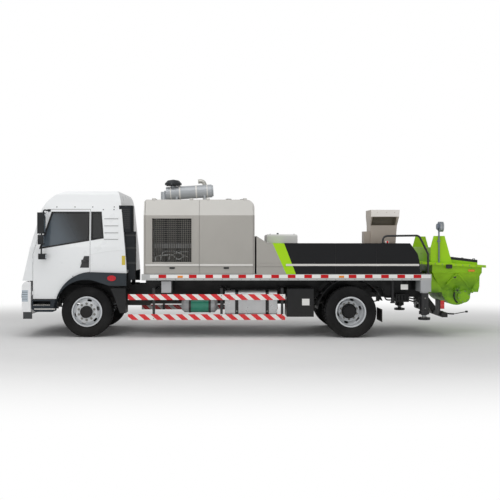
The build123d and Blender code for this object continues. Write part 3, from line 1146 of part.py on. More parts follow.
with BuildPart() as hopper:
    add(hopper_form(0.0, RIM_TOP_FRONT))
    for side in SIDES.values():
        bracket = [(at_x(6780.0), RAIL_Z0 + 90), (at_x(6780.0), RAIL_Z1 - 5),
                   (at_x(6900.0), 1100.0), (at_x(7100.0), 1100.0), (at_x(7200.0), RAIL_Z0 + 90)]
        side_plate(bracket, side * RAIL_Y, side * (RAIL_Y + 16.0))
        bar_y(TROUGH_X, side * (TROUGH_Y - 5), side * (TROUGH_Y + BOSS_T), TROUGH_Z, BOSS_R)
    bar_x(TROUGH_X, OUTLET_FACE_X, 0.0, OUTLET_Z, OUTLET_FLANGE_R)
    add(hopper_form(HOPPER_WALL, RIM_TOP_FRONT + RIM_T), mode=Mode.SUBTRACT)
    above = rim_slab(-RIM_T, RIM_SKIN / 2)[:2]
    side_plate(above + [(RIM_X1 + RIM_T, RIM_TOP_FRONT + 1), (RIM_X0 - RIM_T, RIM_TOP_FRONT + 1)],
               -RIM_Y, RIM_Y, mode=Mode.SUBTRACT)
    add(hopper_rim.part)
    block(GRATE_SHAFT_X + 40, GRATE_X1 - CURB_T, CURB_T - GRATE_Y, GRATE_Y - CURB_T,
          COLLAR_Z0, RIM_TOP_FRONT, mode=Mode.SUBTRACT)
    for side in SIDES.values():
        bar_y(TROUGH_X, side * (TROUGH_Y - 2 * HOPPER_WALL), side * (TROUGH_Y + BOSS_T + 1),
              TROUGH_Z, AGITATOR_R + RUN_FIT, mode=Mode.SUBTRACT)
        mouth_run = Vector(-300.0, 0.0, pump_height(PUMP_X - 300.0) - PUMP_Z)
        with BuildSketch(Plane(origin=(PUMP_X, side * PUMP_Y, PUMP_Z), z_dir=mouth_run)) as mouth:
            Circle(MATERIAL_R + SEAT_GAP)
        extrude(mouth.sketch, amount=mouth_run.length, mode=Mode.SUBTRACT)
    bar_x(TROUGH_X + TROUGH_R - 60, OUTLET_FACE_X + 1, 0.0, OUTLET_Z, SWING_R + SEAT_GAP,
          mode=Mode.SUBTRACT)
    curb_x0 = GRATE_SHAFT_X + 40
    for side in SIDES.values():
        curb = [(curb_x0, rim_top(curb_x0) - RIM_T), (GRATE_X1, rim_top(GRATE_X1) - RIM_T),
                (GRATE_X1, grate_mid(GRATE_X1) - GRATE_HALF_T - SEAT_GAP),
                (curb_x0, grate_mid(curb_x0) - GRATE_HALF_T - SEAT_GAP)]
        side_plate(curb, side * (GRATE_Y - CURB_T), side * GRATE_Y)
        side_plate([(GRATE_SHAFT_X - 30, rim_top(GRATE_SHAFT_X) - RIM_T),
                    (GRATE_SHAFT_X + 30, rim_top(GRATE_SHAFT_X) - RIM_T),
                    (GRATE_SHAFT_X + 30, GRATE_SHAFT_Z + 30),
                    (GRATE_SHAFT_X - 30, GRATE_SHAFT_Z + 30)],
                   side * LUG_Y0, side * (LUG_Y0 + LUG_T))
        wing = [(GUARD_FRONT_X - GUARD_SHEET, rim_top(GUARD_FRONT_X) - 5),
                (GUARD_FRONT_X - GUARD_SHEET, GUARD_FRONT_Z), (at_x(6933.0), WING_TOP),
                (at_x(7153.0), WING_TOP), (at_x(7306.0), rim_top(at_x(7306.0)) - 5)]
        side_plate(wing, side * WING_Y, side * (WING_Y + GUARD_SHEET))
    for side in SIDES.values():
        bar_y(GRATE_SHAFT_X, side * (LUG_Y0 - 1), side * (LUG_Y0 + LUG_T + 1), GRATE_SHAFT_Z,
              GRATE_SHAFT_R + RUN_FIT, mode=Mode.SUBTRACT)
    block(GRATE_X1 - CURB_T, GRATE_X1, -GRATE_Y, GRATE_Y, rim_top(GRATE_X1) - RIM_T,
          grate_mid(GRATE_X1) - GRATE_HALF_T - SEAT_GAP)
    block(GUARD_FRONT_X - GUARD_SHEET, GUARD_FRONT_X, -WING_Y, WING_Y,
          rim_top(GUARD_FRONT_X) - 5, GUARD_FRONT_Z)
keep(hopper, "hopper")

with BuildPart() as hopper_grate:
    bar_y(GRATE_SHAFT_X, -LUG_Y0 - LUG_T, LUG_Y0 + LUG_T, GRATE_SHAFT_Z, GRATE_SHAFT_R)
    slab = [(GRATE_SHAFT_X, GRATE_SHAFT_Z - GRATE_HALF_T), (GRATE_X1, grate_mid(GRATE_X1) - GRATE_HALF_T),
            (GRATE_X1, grate_mid(GRATE_X1) + GRATE_HALF_T), (GRATE_SHAFT_X, GRATE_SHAFT_Z + GRATE_HALF_T)]
    for side in SIDES.values():
        side_plate(slab, side * (GRATE_Y - GRATE_FRAME_W), side * GRATE_Y)
    pitch = 2 * (GRATE_Y - GRATE_FRAME_W) / (GRATE_BARS + 1)
    for n in range(GRATE_BARS):
        bar_y0 = GRATE_FRAME_W - GRATE_Y + pitch * (n + 1) - GRATE_BAR_W / 2
        side_plate(slab, bar_y0, bar_y0 + GRATE_BAR_W)
    block(GRATE_X1 - GRATE_FRAME_W, GRATE_X1, -GRATE_Y, GRATE_Y,
          grate_mid(GRATE_X1) - GRATE_HALF_T + 4, grate_mid(GRATE_X1) + GRATE_HALF_T)
keep(hopper_grate, "hopper_grate")

# Agitator: a stub shaft from each side with two pairs of paddles
PADDLE_R = 230.0
PADDLE_T = 24.0
PADDLE_W = 110.0
PADDLE_Y = (340.0, 470.0)
SHAFT_Y0 = 320.0

for side_name, side in SIDES.items():
    with BuildPart() as agitator:
        bar_y(TROUGH_X, side * SHAFT_Y0, side * (TROUGH_Y + BOSS_T + 30), TROUGH_Z, AGITATOR_R)
        bar_y(TROUGH_X, side * (TROUGH_Y + BOSS_T + 2), side * (TROUGH_Y + BOSS_T + 30), TROUGH_Z,
              BOSS_R)
        for index, y in enumerate(PADDLE_Y):
            half_x, half_z = (PADDLE_R, PADDLE_T) if index else (PADDLE_T, PADDLE_R)
            block(TROUGH_X - half_x, TROUGH_X + half_x, side * y, side * (y + PADDLE_W),
                  TROUGH_Z - half_z, TROUGH_Z + half_z)
    keep(agitator, "agitator_" + side_name)

# Outlet: swing tube from one cylinder's mouth to the delivery spigot behind the hopper
OUTLET_X1 = at_x(7955.0)
OUTLET_COLLAR_R = 108.0
OUTLET_COLLAR_L = 18.0
OUTLET_BORE_R = 80.0
OUTLET_BORE_L = 110.0
SPIGOT_L = 70.0

with BuildPart() as outlet_pipe:
    tube_path = [(PUMP_X + 16, -PUMP_Y, PUMP_Z), (PUMP_X + 118, -PUMP_Y, PUMP_Z - 10),
                 (TROUGH_X + 90, 0.0, OUTLET_Z), (OUTLET_X1, 0.0, OUTLET_Z)]
    bent_tube(tube_path, 160.0, SWING_R)
    bar_x(OUTLET_FACE_X, OUTLET_FACE_X + OUTLET_FLANGE_T, 0.0, OUTLET_Z, OUTLET_FLANGE_R)
    bar_x(OUTLET_X1 - OUTLET_COLLAR_L, OUTLET_X1, 0.0, OUTLET_Z, OUTLET_COLLAR_R)
    bar_x(OUTLET_X1 - OUTLET_BORE_L, OUTLET_X1 + 1, 0.0, OUTLET_Z, OUTLET_BORE_R,
          mode=Mode.SUBTRACT)
keep(outlet_pipe, "outlet_pipe")

# Work lamp: round lamp on a pole at the splash guard's left wing
WORK_LAMP = (at_x(7060.0), -810.0, 2190.0)
WORK_LAMP_R = 100.0
POLE_R = 16.0

with BuildPart() as work_lamp:
    lamp_x, lamp_y, lamp_z = WORK_LAMP
    pole_x = lamp_x - 30
    bar_z(pole_x, lamp_y, rim_top(pole_x - POLE_R) + SEAT_GAP, lamp_z, POLE_R)
    bar_x(lamp_x - 40, lamp_x + 45, lamp_y, lamp_z, WORK_LAMP_R)
    bar_x(lamp_x - 75, lamp_x - 35, lamp_y, lamp_z, WORK_LAMP_R * 0.6)
    block(lamp_x - 60, lamp_x, lamp_y, -WING_Y - GUARD_SHEET, 1880.0, 1920.0)
keep(work_lamp, "work_lamp")

# Outriggers: cross arms with round sleeves at the rear, plain arms behind the front wheels
ARM_X0 = at_x(6562.0)
ARM_X1 = at_x(6768.0)
ARM_LOW = 905.0
LEG_X = at_x(6655.0)
LEG_Y = 1120.0
SLEEVE_R = 85.0
SLEEVE_Z0 = 460.0
SLEEVE_FLANGE_R = 100.0
SLEEVE_FLANGE_T = 62.0
LEG_R = 64.0
LEG_FIT = 1.0
LEG_TOP = 1060.0
LEG_NECK_R = 42.0
PAD_R = 118.0
PAD_Z0 = 350.0
PAD_Z1 = 395.0
FRONT_ARM = (at_x(1477.0), at_x(1667.0), 881.0, 1107.0, 1150.0)

with BuildPart() as outrigger_beams:
    for side in SIDES.values():
        block(ARM_X0, ARM_X1, side * RAIL_Y, side * DECK_Y, ARM_LOW, DECK_Z0)
        bar_z(LEG_X, side * LEG_Y, SLEEVE_Z0, ARM_LOW + 20, SLEEVE_R)
        bar_z(LEG_X, side * LEG_Y, SLEEVE_Z0, SLEEVE_Z0 + SLEEVE_FLANGE_T, SLEEVE_FLANGE_R)
        bar_z(LEG_X, side * LEG_Y, SLEEVE_Z0, LEG_TOP + 2 * MOVE_GAP, LEG_R + LEG_FIT,
              mode=Mode.SUBTRACT)
        front_x0, front_x1, front_z0, front_z1, front_y = FRONT_ARM
        block(front_x0, front_x1, side * RAIL_Y, side * front_y, front_z0, front_z1)
keep(outrigger_beams, "outrigger_beams")

for side_name, side in SIDES.items():
    with BuildPart() as leg:
        bar_z(LEG_X, side * LEG_Y, SLEEVE_Z0 - 15, LEG_TOP, LEG_R)
        bar_z(LEG_X, side * LEG_Y, PAD_Z1 - 10, SLEEVE_Z0 - 14, LEG_NECK_R)
        bar_z(LEG_X, side * LEG_Y, PAD_Z0, PAD_Z1, PAD_R)
        chamfer(leg.faces().sort_by(Axis.Z)[0].edges(), length=8.0)
    keep(leg, "outrigger_leg_" + side_name)

# Rear bumper: under-run bar on two struts, with a lamp bracket at each end
UNDER_X0 = at_x(7003.0)
UNDER_X1 = at_x(7110.0)
UNDER_Z0 = 400.0
UNDER_Z1 = 490.0
UNDER_Y = 1150.0
STRUT_T = 20.0
LAMP_X = (at_x(6983.0), at_x(7066.0))
TAIL_LAMP_Z = (561.0, 720.0)
TAIL_LAMP_Y = (780.0, 1090.0)

with BuildPart() as rear_bumper:
    block(UNDER_X0, UNDER_X1, -UNDER_Y, UNDER_Y, UNDER_Z0, UNDER_Z1)
    for side in SIDES.values():
        strut = [(UNDER_X0, UNDER_Z0), (UNDER_X1, UNDER_Z0), (UNDER_X1, UNDER_Z1),
                 (RAIL_REAR, RAIL_Z0 + 80), (RAIL_REAR - 60, RAIL_Z0 + 80),
                 (RAIL_REAR - 60, RAIL_Z0 + 10)]
        side_plate(strut, side * RAIL_Y, side * (RAIL_Y + STRUT_T))
        block(LAMP_X[0] - 20, LAMP_X[0], side * TAIL_LAMP_Y[0], side * TAIL_LAMP_Y[1],
              UNDER_Z1, TAIL_LAMP_Z[1] + 20)
        block(LAMP_X[0] - 20, UNDER_X0 + 30, side * (TAIL_LAMP_Y[0] + 60),
              side * (TAIL_LAMP_Y[1] - 60), UNDER_Z0 + 20, UNDER_Z1 + 20)
        block(LAMP_X[0], LAMP_X[1], side * (TAIL_LAMP_Y[0] + 10), side * (TAIL_LAMP_Y[1] - 10),
              TAIL_LAMP_Z[0], TAIL_LAMP_Z[1])
keep(rear_bumper, "rear_bumper")

# Cab: steel shell lofted through level sections; its front bows forwards in plan
CAB_WALL = 50.0
CAB_SECTIONS = [
    # height, front corner, front middle, half width, rear wall (stations from the front axle)
    (700.0, -1250.0, -1340.0, 1180.0, 815.0),
    (1120.0, -1250.0, -1340.0, 1180.0, 806.0),
    (1780.0, -1100.0, -1205.0, 1180.0, 760.0),
    (2526.0, -885.0, -985.0, 1130.0, 690.0),
    (2676.0, -788.0, -870.0, 1110.0, 675.0),
    (2820.0, -620.0, -690.0, 1070.0, 640.0),
    (2890.0, -430.0, -480.0, 1000.0, 600.0),
]
CAB_ROOF_Z = CAB_SECTIONS[-1][0]
CAB_Y = CAB_SECTIONS[0][3]
UNDER_Z = 1120.0
ARCH_FOOT = (at_x(-581.0), 758.0)
ARCH_MID = (at_x(-310.0), 1152.0)
ARCH_TOP = (at_x(121.0), 1290.0)
CAB_TAIL_X = at_x(792.0)


def cab_form(inset):
    """Closed cab form, all its faces moved inwards by inset; it runs on below."""
    with BuildPart() as form:
        for height, corner, middle, half, rear in CAB_SECTIONS:
            level = height - inset if height == CAB_ROOF_Z else height
            half_in = half - inset
            front = at_x(corner) + inset
            back = at_x(rear) - inset
            with BuildSketch(Plane.XY.offset(level)):
                with BuildLine():
                    ThreePointArc((front, -half_in), (at_x(middle) + inset, 0.0), (front, half_in))
                    Polyline((front, half_in), (back, half_in), (back, -half_in), (front, -half_in))
                make_face()
        loft(ruled=True)
    return form.part


def arch_void(y0, y1, grow, mode=Mode.SUBTRACT):
    """Space under the wheel arch line and the cab's tail, its edges moved outwards by grow."""
    with BuildSketch(Plane.XZ.offset(-y0)) as void:
        with BuildLine():
            ThreePointArc(ARCH_FOOT, ARCH_MID, ARCH_TOP)
            Polyline(ARCH_TOP, (CAB_TAIL_X + 30, CAB_REAR_FLOOR_Z), (CAB_TAIL_X + 30, 600.0),
                     (ARCH_FOOT[0], 600.0), ARCH_FOOT)
        make_face()
        if grow:
            offset(amount=grow, kind=Kind.INTERSECTION)
    extrude(void.sketch, amount=y0 - y1, mode=mode)


DOOR_OUTLINE = [
    (at_x(-1050.0), ARCH_FOOT[1]), (at_x(80.0), ARCH_FOOT[1]), (at_x(80.0), 2530.0),
    (at_x(-770.0), 2530.0), (at_x(-1050.0), 1640.0),
]
DOOR_GLASS = [(at_x(-895.0), 1767.0), (at_x(42.0), 1923.0), (at_x(42.0), 2461.0),
              (at_x(-672.0), 2461.0)]
QUARTER_GLASS = [(at_x(112.0), 1935.0), (at_x(323.0), 1970.0), (at_x(280.0), 2461.0),
                 (at_x(112.0), 2461.0)]
WINDSHIELD = [(-1010.0, 1815.0), (1010.0, 1815.0), (960.0, 2475.0), (-960.0, 2475.0)]
WINDSHIELD_X = (at_x(-1400.0), at_x(-750.0))
REAR_GLASS = [(-450.0, 1950.0), (450.0, 1950.0), (450.0, 2400.0), (-450.0, 2400.0)]
REAR_GLASS_X = (at_x(500.0), at_x(900.0))
FLOOR_T = 50.0
FLOOR_LINE = [(at_x(-1400.0), UNDER_Z + FLOOR_T), (at_x(-480.0), UNDER_Z + FLOOR_T),
              (at_x(-215.0), 1277.0), (at_x(115.0), 1290.0 + FLOOR_T),
              (at_x(900.0), CAB_REAR_FLOOR_Z + FLOOR_T)]
WELL_X = (at_x(-1045.0), at_x(-605.0))
WELL_Y = (860.0, 1120.0)
WELL_Z0 = ARCH_FOOT[1] + 5
WELL_T = 18.0
CAB_HINGE_X = DOOR_OUTLINE[0][0] + MOVE_GAP / 2
CAB_HINGE_Y = CAB_Y + 16.0
CAB_HINGES_Z = (880.0, 1520.0)
LOUVRES = (1939.0, 2066.0, 2204.0, 2343.0)
LOUVRE_X = (at_x(353.0), at_x(627.0))
LOUVRE_H = 50.0
LOUVRE_PROUD = 12.0

cab_outside = cab_form(0.0)
cab_inside = cab_form(CAB_WALL)


def shrunk(outline, y0, y1, gap, plane=Plane.XZ):
    """Prism over an outline whose edges are moved inwards by gap."""
    base = plane.offset(-y0) if plane == Plane.XZ else plane.offset(y0)
    with BuildSketch(base) as face:
        with BuildLine():
            Polyline(*outline, close=True)
        make_face()
        if gap:
            offset(amount=-gap, kind=Kind.INTERSECTION)
    reach = y0 - y1 if plane == Plane.XZ else y1 - y0
    return extrude(face.sketch, amount=reach, mode=Mode.PRIVATE)


with BuildPart() as cabin_space:
    add(cab_inside)
    side_plate(FLOOR_LINE + [(at_x(900.0), 500.0), (at_x(-1400.0), 500.0)], -CAB_Y, CAB_Y,
               mode=Mode.SUBTRACT)

with BuildPart() as cab_shell:
    add(cab_outside)
    for side in SIDES.values():
        for z in LOUVRES:
            add(cab_form(-LOUVRE_PROUD) & shrunk(
                [(LOUVRE_X[0], z), (LOUVRE_X[1], z), (LOUVRE_X[1], z + LOUVRE_H),
                 (LOUVRE_X[0], z + LOUVRE_H)],
                min(side * 1110.0, side * 1250.0), max(side * 1110.0, side * 1250.0), 0.0))
    add(cabin_space.part, mode=Mode.SUBTRACT)
    arch_void(-CAB_Y - 1, CAB_Y + 1, 0.0)
    block(at_x(-1400.0), at_x(-300.0), -CAB_Y - 1, CAB_Y + 1, 600.0, UNDER_Z, mode=Mode.SUBTRACT)
    for side in SIDES.values():
        add(shrunk(DOOR_OUTLINE, side * (CAB_Y - 2 * CAB_WALL), side * (CAB_Y + 1), 0.0)
            - shrunk([(ARCH_FOOT[0], 700.0), (at_x(81.0), 700.0), (at_x(81.0), 701.0)],
                     side * (CAB_Y - 2 * CAB_WALL), side * (CAB_Y + 1), 0.0),
            mode=Mode.SUBTRACT)
        add(shrunk(QUARTER_GLASS, side * (CAB_Y - 3 * CAB_WALL), side * (CAB_Y + 1), 0.0),
            mode=Mode.SUBTRACT)
        y0, y1 = side * WELL_Y[0], side * WELL_Y[1]
        block(WELL_X[0], WELL_X[1], y0, y1, WELL_Z0, UNDER_Z + FLOOR_T)
        block(WELL_X[0] + WELL_T, WELL_X[1] - WELL_T, side * (WELL_Y[0] + WELL_T),
              side * CAB_Y, WELL_Z0 + WELL_T, UNDER_Z + FLOOR_T + 1, mode=Mode.SUBTRACT)
        block(TILT_X - TILT_EAR_R, TILT_X + TILT_EAR_R, side * (TILT_Y - TILT_LUG / 2),
              side * (TILT_Y + TILT_LUG / 2), TILT_Z, UNDER_Z + 5)
        bar_y(TILT_X, side * (TILT_Y - TILT_LUG / 2), side * (TILT_Y + TILT_LUG / 2), TILT_Z,
              TILT_EAR_R)
        bar_y(TILT_X, side * (TILT_Y - TILT_LUG / 2 - 1), side * (TILT_Y + TILT_LUG / 2 + 1),
              TILT_Z, TILT_PIN_R + RUN_FIT, mode=Mode.SUBTRACT)
        for z in CAB_HINGES_Z:
            for end in (-1, 1):
                lug_z0 = z + end * (HINGE_HALF + HINGE_PLAY)
                lug_z1 = lug_z0 + end * HINGE_LUG
                bar_z(CAB_HINGE_X, side * CAB_HINGE_Y, lug_z0, lug_z1, HINGE_R)
                block(CAB_HINGE_X - HINGE_LEAF, CAB_HINGE_X - MOVE_GAP / 2,
                      side * (CAB_Y - HINGE_R), side * CAB_HINGE_Y, lug_z0, lug_z1)
            bar_z(CAB_HINGE_X, side * CAB_HINGE_Y, z - HINGE_HALF - HINGE_LUG,
                  z + HINGE_HALF + HINGE_LUG, HINGE_PIN_R)
    add(shrunk(WINDSHIELD, WINDSHIELD_X[0], WINDSHIELD_X[1], 0.0, Plane.YZ), mode=Mode.SUBTRACT)
    add(shrunk(REAR_GLASS, REAR_GLASS_X[0], REAR_GLASS_X[1], 0.0, Plane.YZ), mode=Mode.SUBTRACT)
keep(cab_shell, "cab_shell")

# Glass: panes set a little inside the outer faces, each with a sealing gap all round
GLASS_DEPTH = 15.0
GLASS_T = 7.0

with BuildPart() as pane_layer:
    add(cab_form(GLASS_DEPTH))
    add(cab_form(GLASS_DEPTH + GLASS_T), mode=Mode.SUBTRACT)

with BuildPart() as cab_glass:
    add(pane_layer.part & shrunk(WINDSHIELD, WINDSHIELD_X[0], WINDSHIELD_X[1], SEAT_GAP, Plane.YZ))
    add(pane_layer.part & shrunk(REAR_GLASS, REAR_GLASS_X[0], REAR_GLASS_X[1], SEAT_GAP, Plane.YZ))
    for side in SIDES.values():
        add(pane_layer.part & shrunk(QUARTER_GLASS, side * (CAB_Y - 3 * CAB_WALL),
                                     side * (CAB_Y + 1), SEAT_GAP))
keep(cab_glass, "cab_glass")

# Doors: the shell's own side wall inside the door line, hinged at the front edge
for side_name, side in SIDES.items():
    y0, y1 = side * (CAB_Y - 3 * CAB_WALL), side * (CAB_Y + 1)
    with BuildPart() as door:
        add(cab_outside)
        add(cab_inside, mode=Mode.SUBTRACT)
        add(shrunk(DOOR_OUTLINE, y0, y1, MOVE_GAP), mode=Mode.INTERSECT)
        arch_void(y0, y1, MOVE_GAP)
        add(shrunk(DOOR_GLASS, y0, y1, 0.0), mode=Mode.SUBTRACT)
        for z in CAB_HINGES_Z:
            bar_z(CAB_HINGE_X, side * CAB_HINGE_Y, z - HINGE_HALF, z + HINGE_HALF, HINGE_R)
            block(CAB_HINGE_X + MOVE_GAP / 2, CAB_HINGE_X + HINGE_LEAF,
                  side * (CAB_Y - HINGE_R), side * CAB_HINGE_Y, z - HINGE_HALF, z + HINGE_HALF)
            bar_z(CAB_HINGE_X, side * CAB_HINGE_Y, z - HINGE_HALF - 1, z + HINGE_HALF + 1,
                  HINGE_PIN_R + RUN_FIT, mode=Mode.SUBTRACT)
        handle_y = side * CAB_Y
        block(at_x(-124.0), at_x(40.0), handle_y, handle_y + side * 22.0, 1480.0, 1530.0)
    keep(door, "door_" + side_name)
    with BuildPart() as door_glass:
        add(pane_layer.part & shrunk(DOOR_GLASS, y0, y1, SEAT_GAP))
    keep(door_glass, "door_glass_" + side_name)

# Wheel arch trims: moulded panels from the door's foot round the wheel to the cab's tail
TRIM_Y0 = 1110.0
TRIM_Y1 = 1230.0
TRIM_TAIL_Z = 1020.0
REFLECTOR = (at_x(508.0), 1172.0, 85.0, 55.0)

with BuildPart() as cab_arches:
    for side in SIDES.values():
        arch_void(side * TRIM_Y0, side * TRIM_Y1, -SEAT_GAP, mode=Mode.ADD)
    bar_y(FRONT_AXLE_X, -TRIM_Y1 - 1, TRIM_Y1 + 1, TYRE_R, ARCH_R, mode=Mode.SUBTRACT)
    block(at_x(-700.0), at_x(900.0), -TRIM_Y1 - 1, TRIM_Y1 + 1, 500.0, ARCH_FOOT[1],
          mode=Mode.SUBTRACT)
    side_plate([(at_x(228.0), 1100.0), (at_x(454.0), TRIM_TAIL_Z + 6), (at_x(900.0), TRIM_TAIL_Z),
                (at_x(900.0), 700.0), (at_x(228.0), 700.0)], -TRIM_Y1 - 1, TRIM_Y1 + 1,
               mode=Mode.SUBTRACT)
    block(CAB_TAIL_X, CAB_TAIL_X + 60, -TRIM_Y1 - 1, TRIM_Y1 + 1, 500.0, 1400.0,
          mode=Mode.SUBTRACT)
    lens_x, lens_z, lens_half_x, lens_half_z = REFLECTOR
    for side in SIDES.values():
        with BuildSketch(Plane.XZ.offset(-side * TRIM_Y1)) as lens:
            with Locations((lens_x, lens_z)):
                Ellipse(lens_half_x, lens_half_z)
        extrude(lens.sketch, amount=-side * 10.0)
keep(cab_arches, "cab_arches")

# Inside the cab: dashboard against the front wall, steering wheel on its column, seat pedestals
DASH_X1 = at_x(-830.0)
DASH_Y = 1050.0
DASH_Z = (1480.0, 1730.0)
WHEEL_CENTRE = (at_x(-660.0), -480.0, 1760.0)
WHEEL_R = 215.0
WHEEL_GRIP = 16.0
WHEEL_TILT = -60.0
SEAT_Y = 480.0
SEAT_X = (at_x(-330.0), at_x(180.0))
PEDESTAL_X = (at_x(-200.0), at_x(100.0))
PEDESTAL_Z = 1520.0
CUSHION_Z = 1660.0
SEAT_HALF = 250.0

with BuildPart() as cab_interior:
    with BuildPart(mode=Mode.PRIVATE) as dash:
        add(cab_form(CAB_WALL + SEAT_GAP))
        with Locations(((at_x(-1400.0) + DASH_X1) / 2, 0.0, (DASH_Z[0] + DASH_Z[1]) / 2)):
            Box(DASH_X1 - at_x(-1400.0), 2 * DASH_Y, DASH_Z[1] - DASH_Z[0], mode=Mode.INTERSECT)
    add(dash.part)
    wheel_x, wheel_y, wheel_z = WHEEL_CENTRE
    bent_tube([(DASH_X1 - 40, wheel_y, 1640.0), (wheel_x - 60, wheel_y, wheel_z - 40),
               (wheel_x, wheel_y, wheel_z)], 60.0, 24.0)
    with Locations(Location(WHEEL_CENTRE, (0, WHEEL_TILT, 0))):
        Torus(WHEEL_R, WHEEL_GRIP)
        Box(2 * WHEEL_R, 40.0, 16.0)
        Cylinder(50.0, 24.0)
    for side in SIDES.values():
        pedestal = [(PEDESTAL_X[0], 1284.0), (PEDESTAL_X[1], 1338.0), (PEDESTAL_X[1], PEDESTAL_Z),
                    (PEDESTAL_X[0], PEDESTAL_Z)]
        side_plate(pedestal, side * (SEAT_Y - 150), side * (SEAT_Y + 150))
keep(cab_interior, "cab_interior")

with BuildPart() as seats:
    for side in SIDES.values():
        cushion = [(SEAT_X[0], PEDESTAL_Z + SEAT_GAP), (SEAT_X[1] - 60, PEDESTAL_Z + SEAT_GAP),
                   (SEAT_X[1] + 60, 2230.0), (SEAT_X[1] + 160, 2230.0), (SEAT_X[1] + 60, 1560.0),
                   (SEAT_X[1] - 30, PEDESTAL_Z + SEAT_GAP), (SEAT_X[1] - 60, CUSHION_Z),
                   (SEAT_X[0], CUSHION_Z)]
        side_plate([cushion[0], cushion[5], cushion[4], cushion[3], cushion[2],
                    (SEAT_X[1] - 50, CUSHION_Z), cushion[7]],
                   side * (SEAT_Y - SEAT_HALF), side * (SEAT_Y + SEAT_HALF))
        side_plate([(SEAT_X[1] + 50, 2229.0), (SEAT_X[1] + 70, 2400.0), (SEAT_X[1] + 150, 2400.0),
                    (SEAT_X[1] + 150, 2229.0)], side * (SEAT_Y - 130), side * (SEAT_Y + 130))
keep(seats, "seats")

# Air intake behind the cab: louvred head and duct, fixed to the rear wall
SNORKEL_Y = (-1130.0, -860.0)
DUCT_Y = (-1090.0, -900.0)

with BuildPart() as intake_snorkel:
    block(at_x(640.0), at_x(905.0), SNORKEL_Y[0], SNORKEL_Y[1], 2080.0, 2602.0)
    fillet(intake_snorkel.edges().filter_by(Axis.Z).group_by(Axis.X)[-1], radius=60.0)
    block(at_x(740.0), at_x(950.0), DUCT_Y[0], DUCT_Y[1], 1330.0, 2090.0)
    block(at_x(815.0), at_x(950.0), DUCT_Y[0], DUCT_Y[1], 1140.0, 1335.0)
    add(cab_form(-SEAT_GAP), mode=Mode.SUBTRACT)
keep(intake_snorkel, "intake_snorkel")

# Mirrors on the doors: bent arm with a tall main head, a wide-angle head and a kerb head
MIRROR_ARM_R = 14.0
MIRROR_HEADS = [
    # first and last station, z low, z high, y inner, y outer
    (-908.0, -768.0, 2045.0, 2455.0, 1285.0, 1445.0),
    (-900.0, -780.0, 1835.0, 2020.0, 1290.0, 1440.0),
    (-905.0, -760.0, 1545.0, 1655.0, 1250.0, 1380.0),
]
MIRROR_ROUND = 25.0

for side_name, side in SIDES.items():
    with BuildPart() as mirror:
        for first, last, z0, z1, y0, y1 in MIRROR_HEADS:
            with BuildPart(mode=Mode.PRIVATE) as head:
                block(at_x(first), at_x(last), side * y0, side * y1, z0, z1)
                fillet(head.edges().filter_by(Axis.Z).group_by(Axis.X)[0], radius=2 * MIRROR_ROUND)
                fillet(head.edges().filter_by(Axis.Z).group_by(Axis.X)[-1], radius=MIRROR_ROUND / 2)
            add(head.part)
        bent_tube([(at_x(-735.0), side * 1133.0, 2500.0), (at_x(-790.0), side * 1362.0, 2505.0),
                   (at_x(-830.0), side * 1362.0, 2200.0), (at_x(-840.0), side * 1350.0, 1625.0),
                   (at_x(-880.0), side * (CAB_Y - 5), 1600.0)], 45.0, MIRROR_ARM_R)
        add(cab_form(-SEAT_GAP), mode=Mode.SUBTRACT)
    keep(mirror, "mirror_" + side_name)
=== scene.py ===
import math

import bmesh
import bpy
from mathutils import Matrix, Vector


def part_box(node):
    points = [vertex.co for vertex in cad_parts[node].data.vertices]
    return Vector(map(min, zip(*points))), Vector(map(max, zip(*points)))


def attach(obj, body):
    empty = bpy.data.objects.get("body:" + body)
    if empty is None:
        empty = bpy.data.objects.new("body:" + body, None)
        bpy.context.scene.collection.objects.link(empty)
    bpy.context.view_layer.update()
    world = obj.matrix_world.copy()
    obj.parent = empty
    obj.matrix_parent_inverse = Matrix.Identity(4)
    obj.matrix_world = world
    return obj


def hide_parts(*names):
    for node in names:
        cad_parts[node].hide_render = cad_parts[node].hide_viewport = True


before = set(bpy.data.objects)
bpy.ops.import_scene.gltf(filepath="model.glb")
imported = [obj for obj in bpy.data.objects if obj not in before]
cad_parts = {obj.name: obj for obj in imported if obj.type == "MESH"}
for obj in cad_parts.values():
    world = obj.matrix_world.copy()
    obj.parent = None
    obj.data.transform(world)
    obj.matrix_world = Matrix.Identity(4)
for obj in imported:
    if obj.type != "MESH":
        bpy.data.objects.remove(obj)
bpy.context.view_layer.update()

# ---------------------------------------------------------------------------------------------
# Studio. The truck is seen square from its left side through a long lens, on a pale floor that
# fades into a white ground, under one large soft lamp above and one beside the camera.
LENS_MM = 56.2
SENSOR_MM = 36.0
CAMERA_PLACE = (-0.486, -16.513, 1.882)
FRAME_SHIFT = (0.041, -0.016)
FLOOR_HALF = 45.0
FLOOR_STRETCH = (0.72, 1.25, 1.0)
FLOOR_FADE = (5.0, 11.0)
FLOOR_TONES = (0.80, 0.84)
SKY_LEVEL = 0.50
WHITE = (1.0, 1.0, 1.0, 1.0)
LAMPS = [
    # name, place, size, watts, aimed at
    ("lamp_above", (-2.5, -4.5, 9.5), (14.0, 7.0), 400.0, (0.0, 0.0, 1.0)),
    ("lamp_beside_camera", (-7.5, -13.0, 4.5), (6.0, 5.0), 210.0, (0.0, 0.0, 1.4)),
    ("lamp_behind", (6.0, 9.0, 6.0), (8.0, 5.0), 180.0, (0.5, 0.0, 1.6)),
]

scene = bpy.context.scene
scene.view_settings.view_transform = "Standard"


def node(tree, kind, inputs=None, **settings):
    """Shader node; inputs holds numbers, colours or the sockets that feed it."""
    made = tree.nodes.new(kind)
    for key, value in settings.items():
        setattr(made, key, value)
    for socket, value in (inputs or {}).items():
        if isinstance(value, bpy.types.NodeSocket):
            tree.links.new(value, made.inputs[socket])
        else:
            made.inputs[socket].default_value = value
    return made


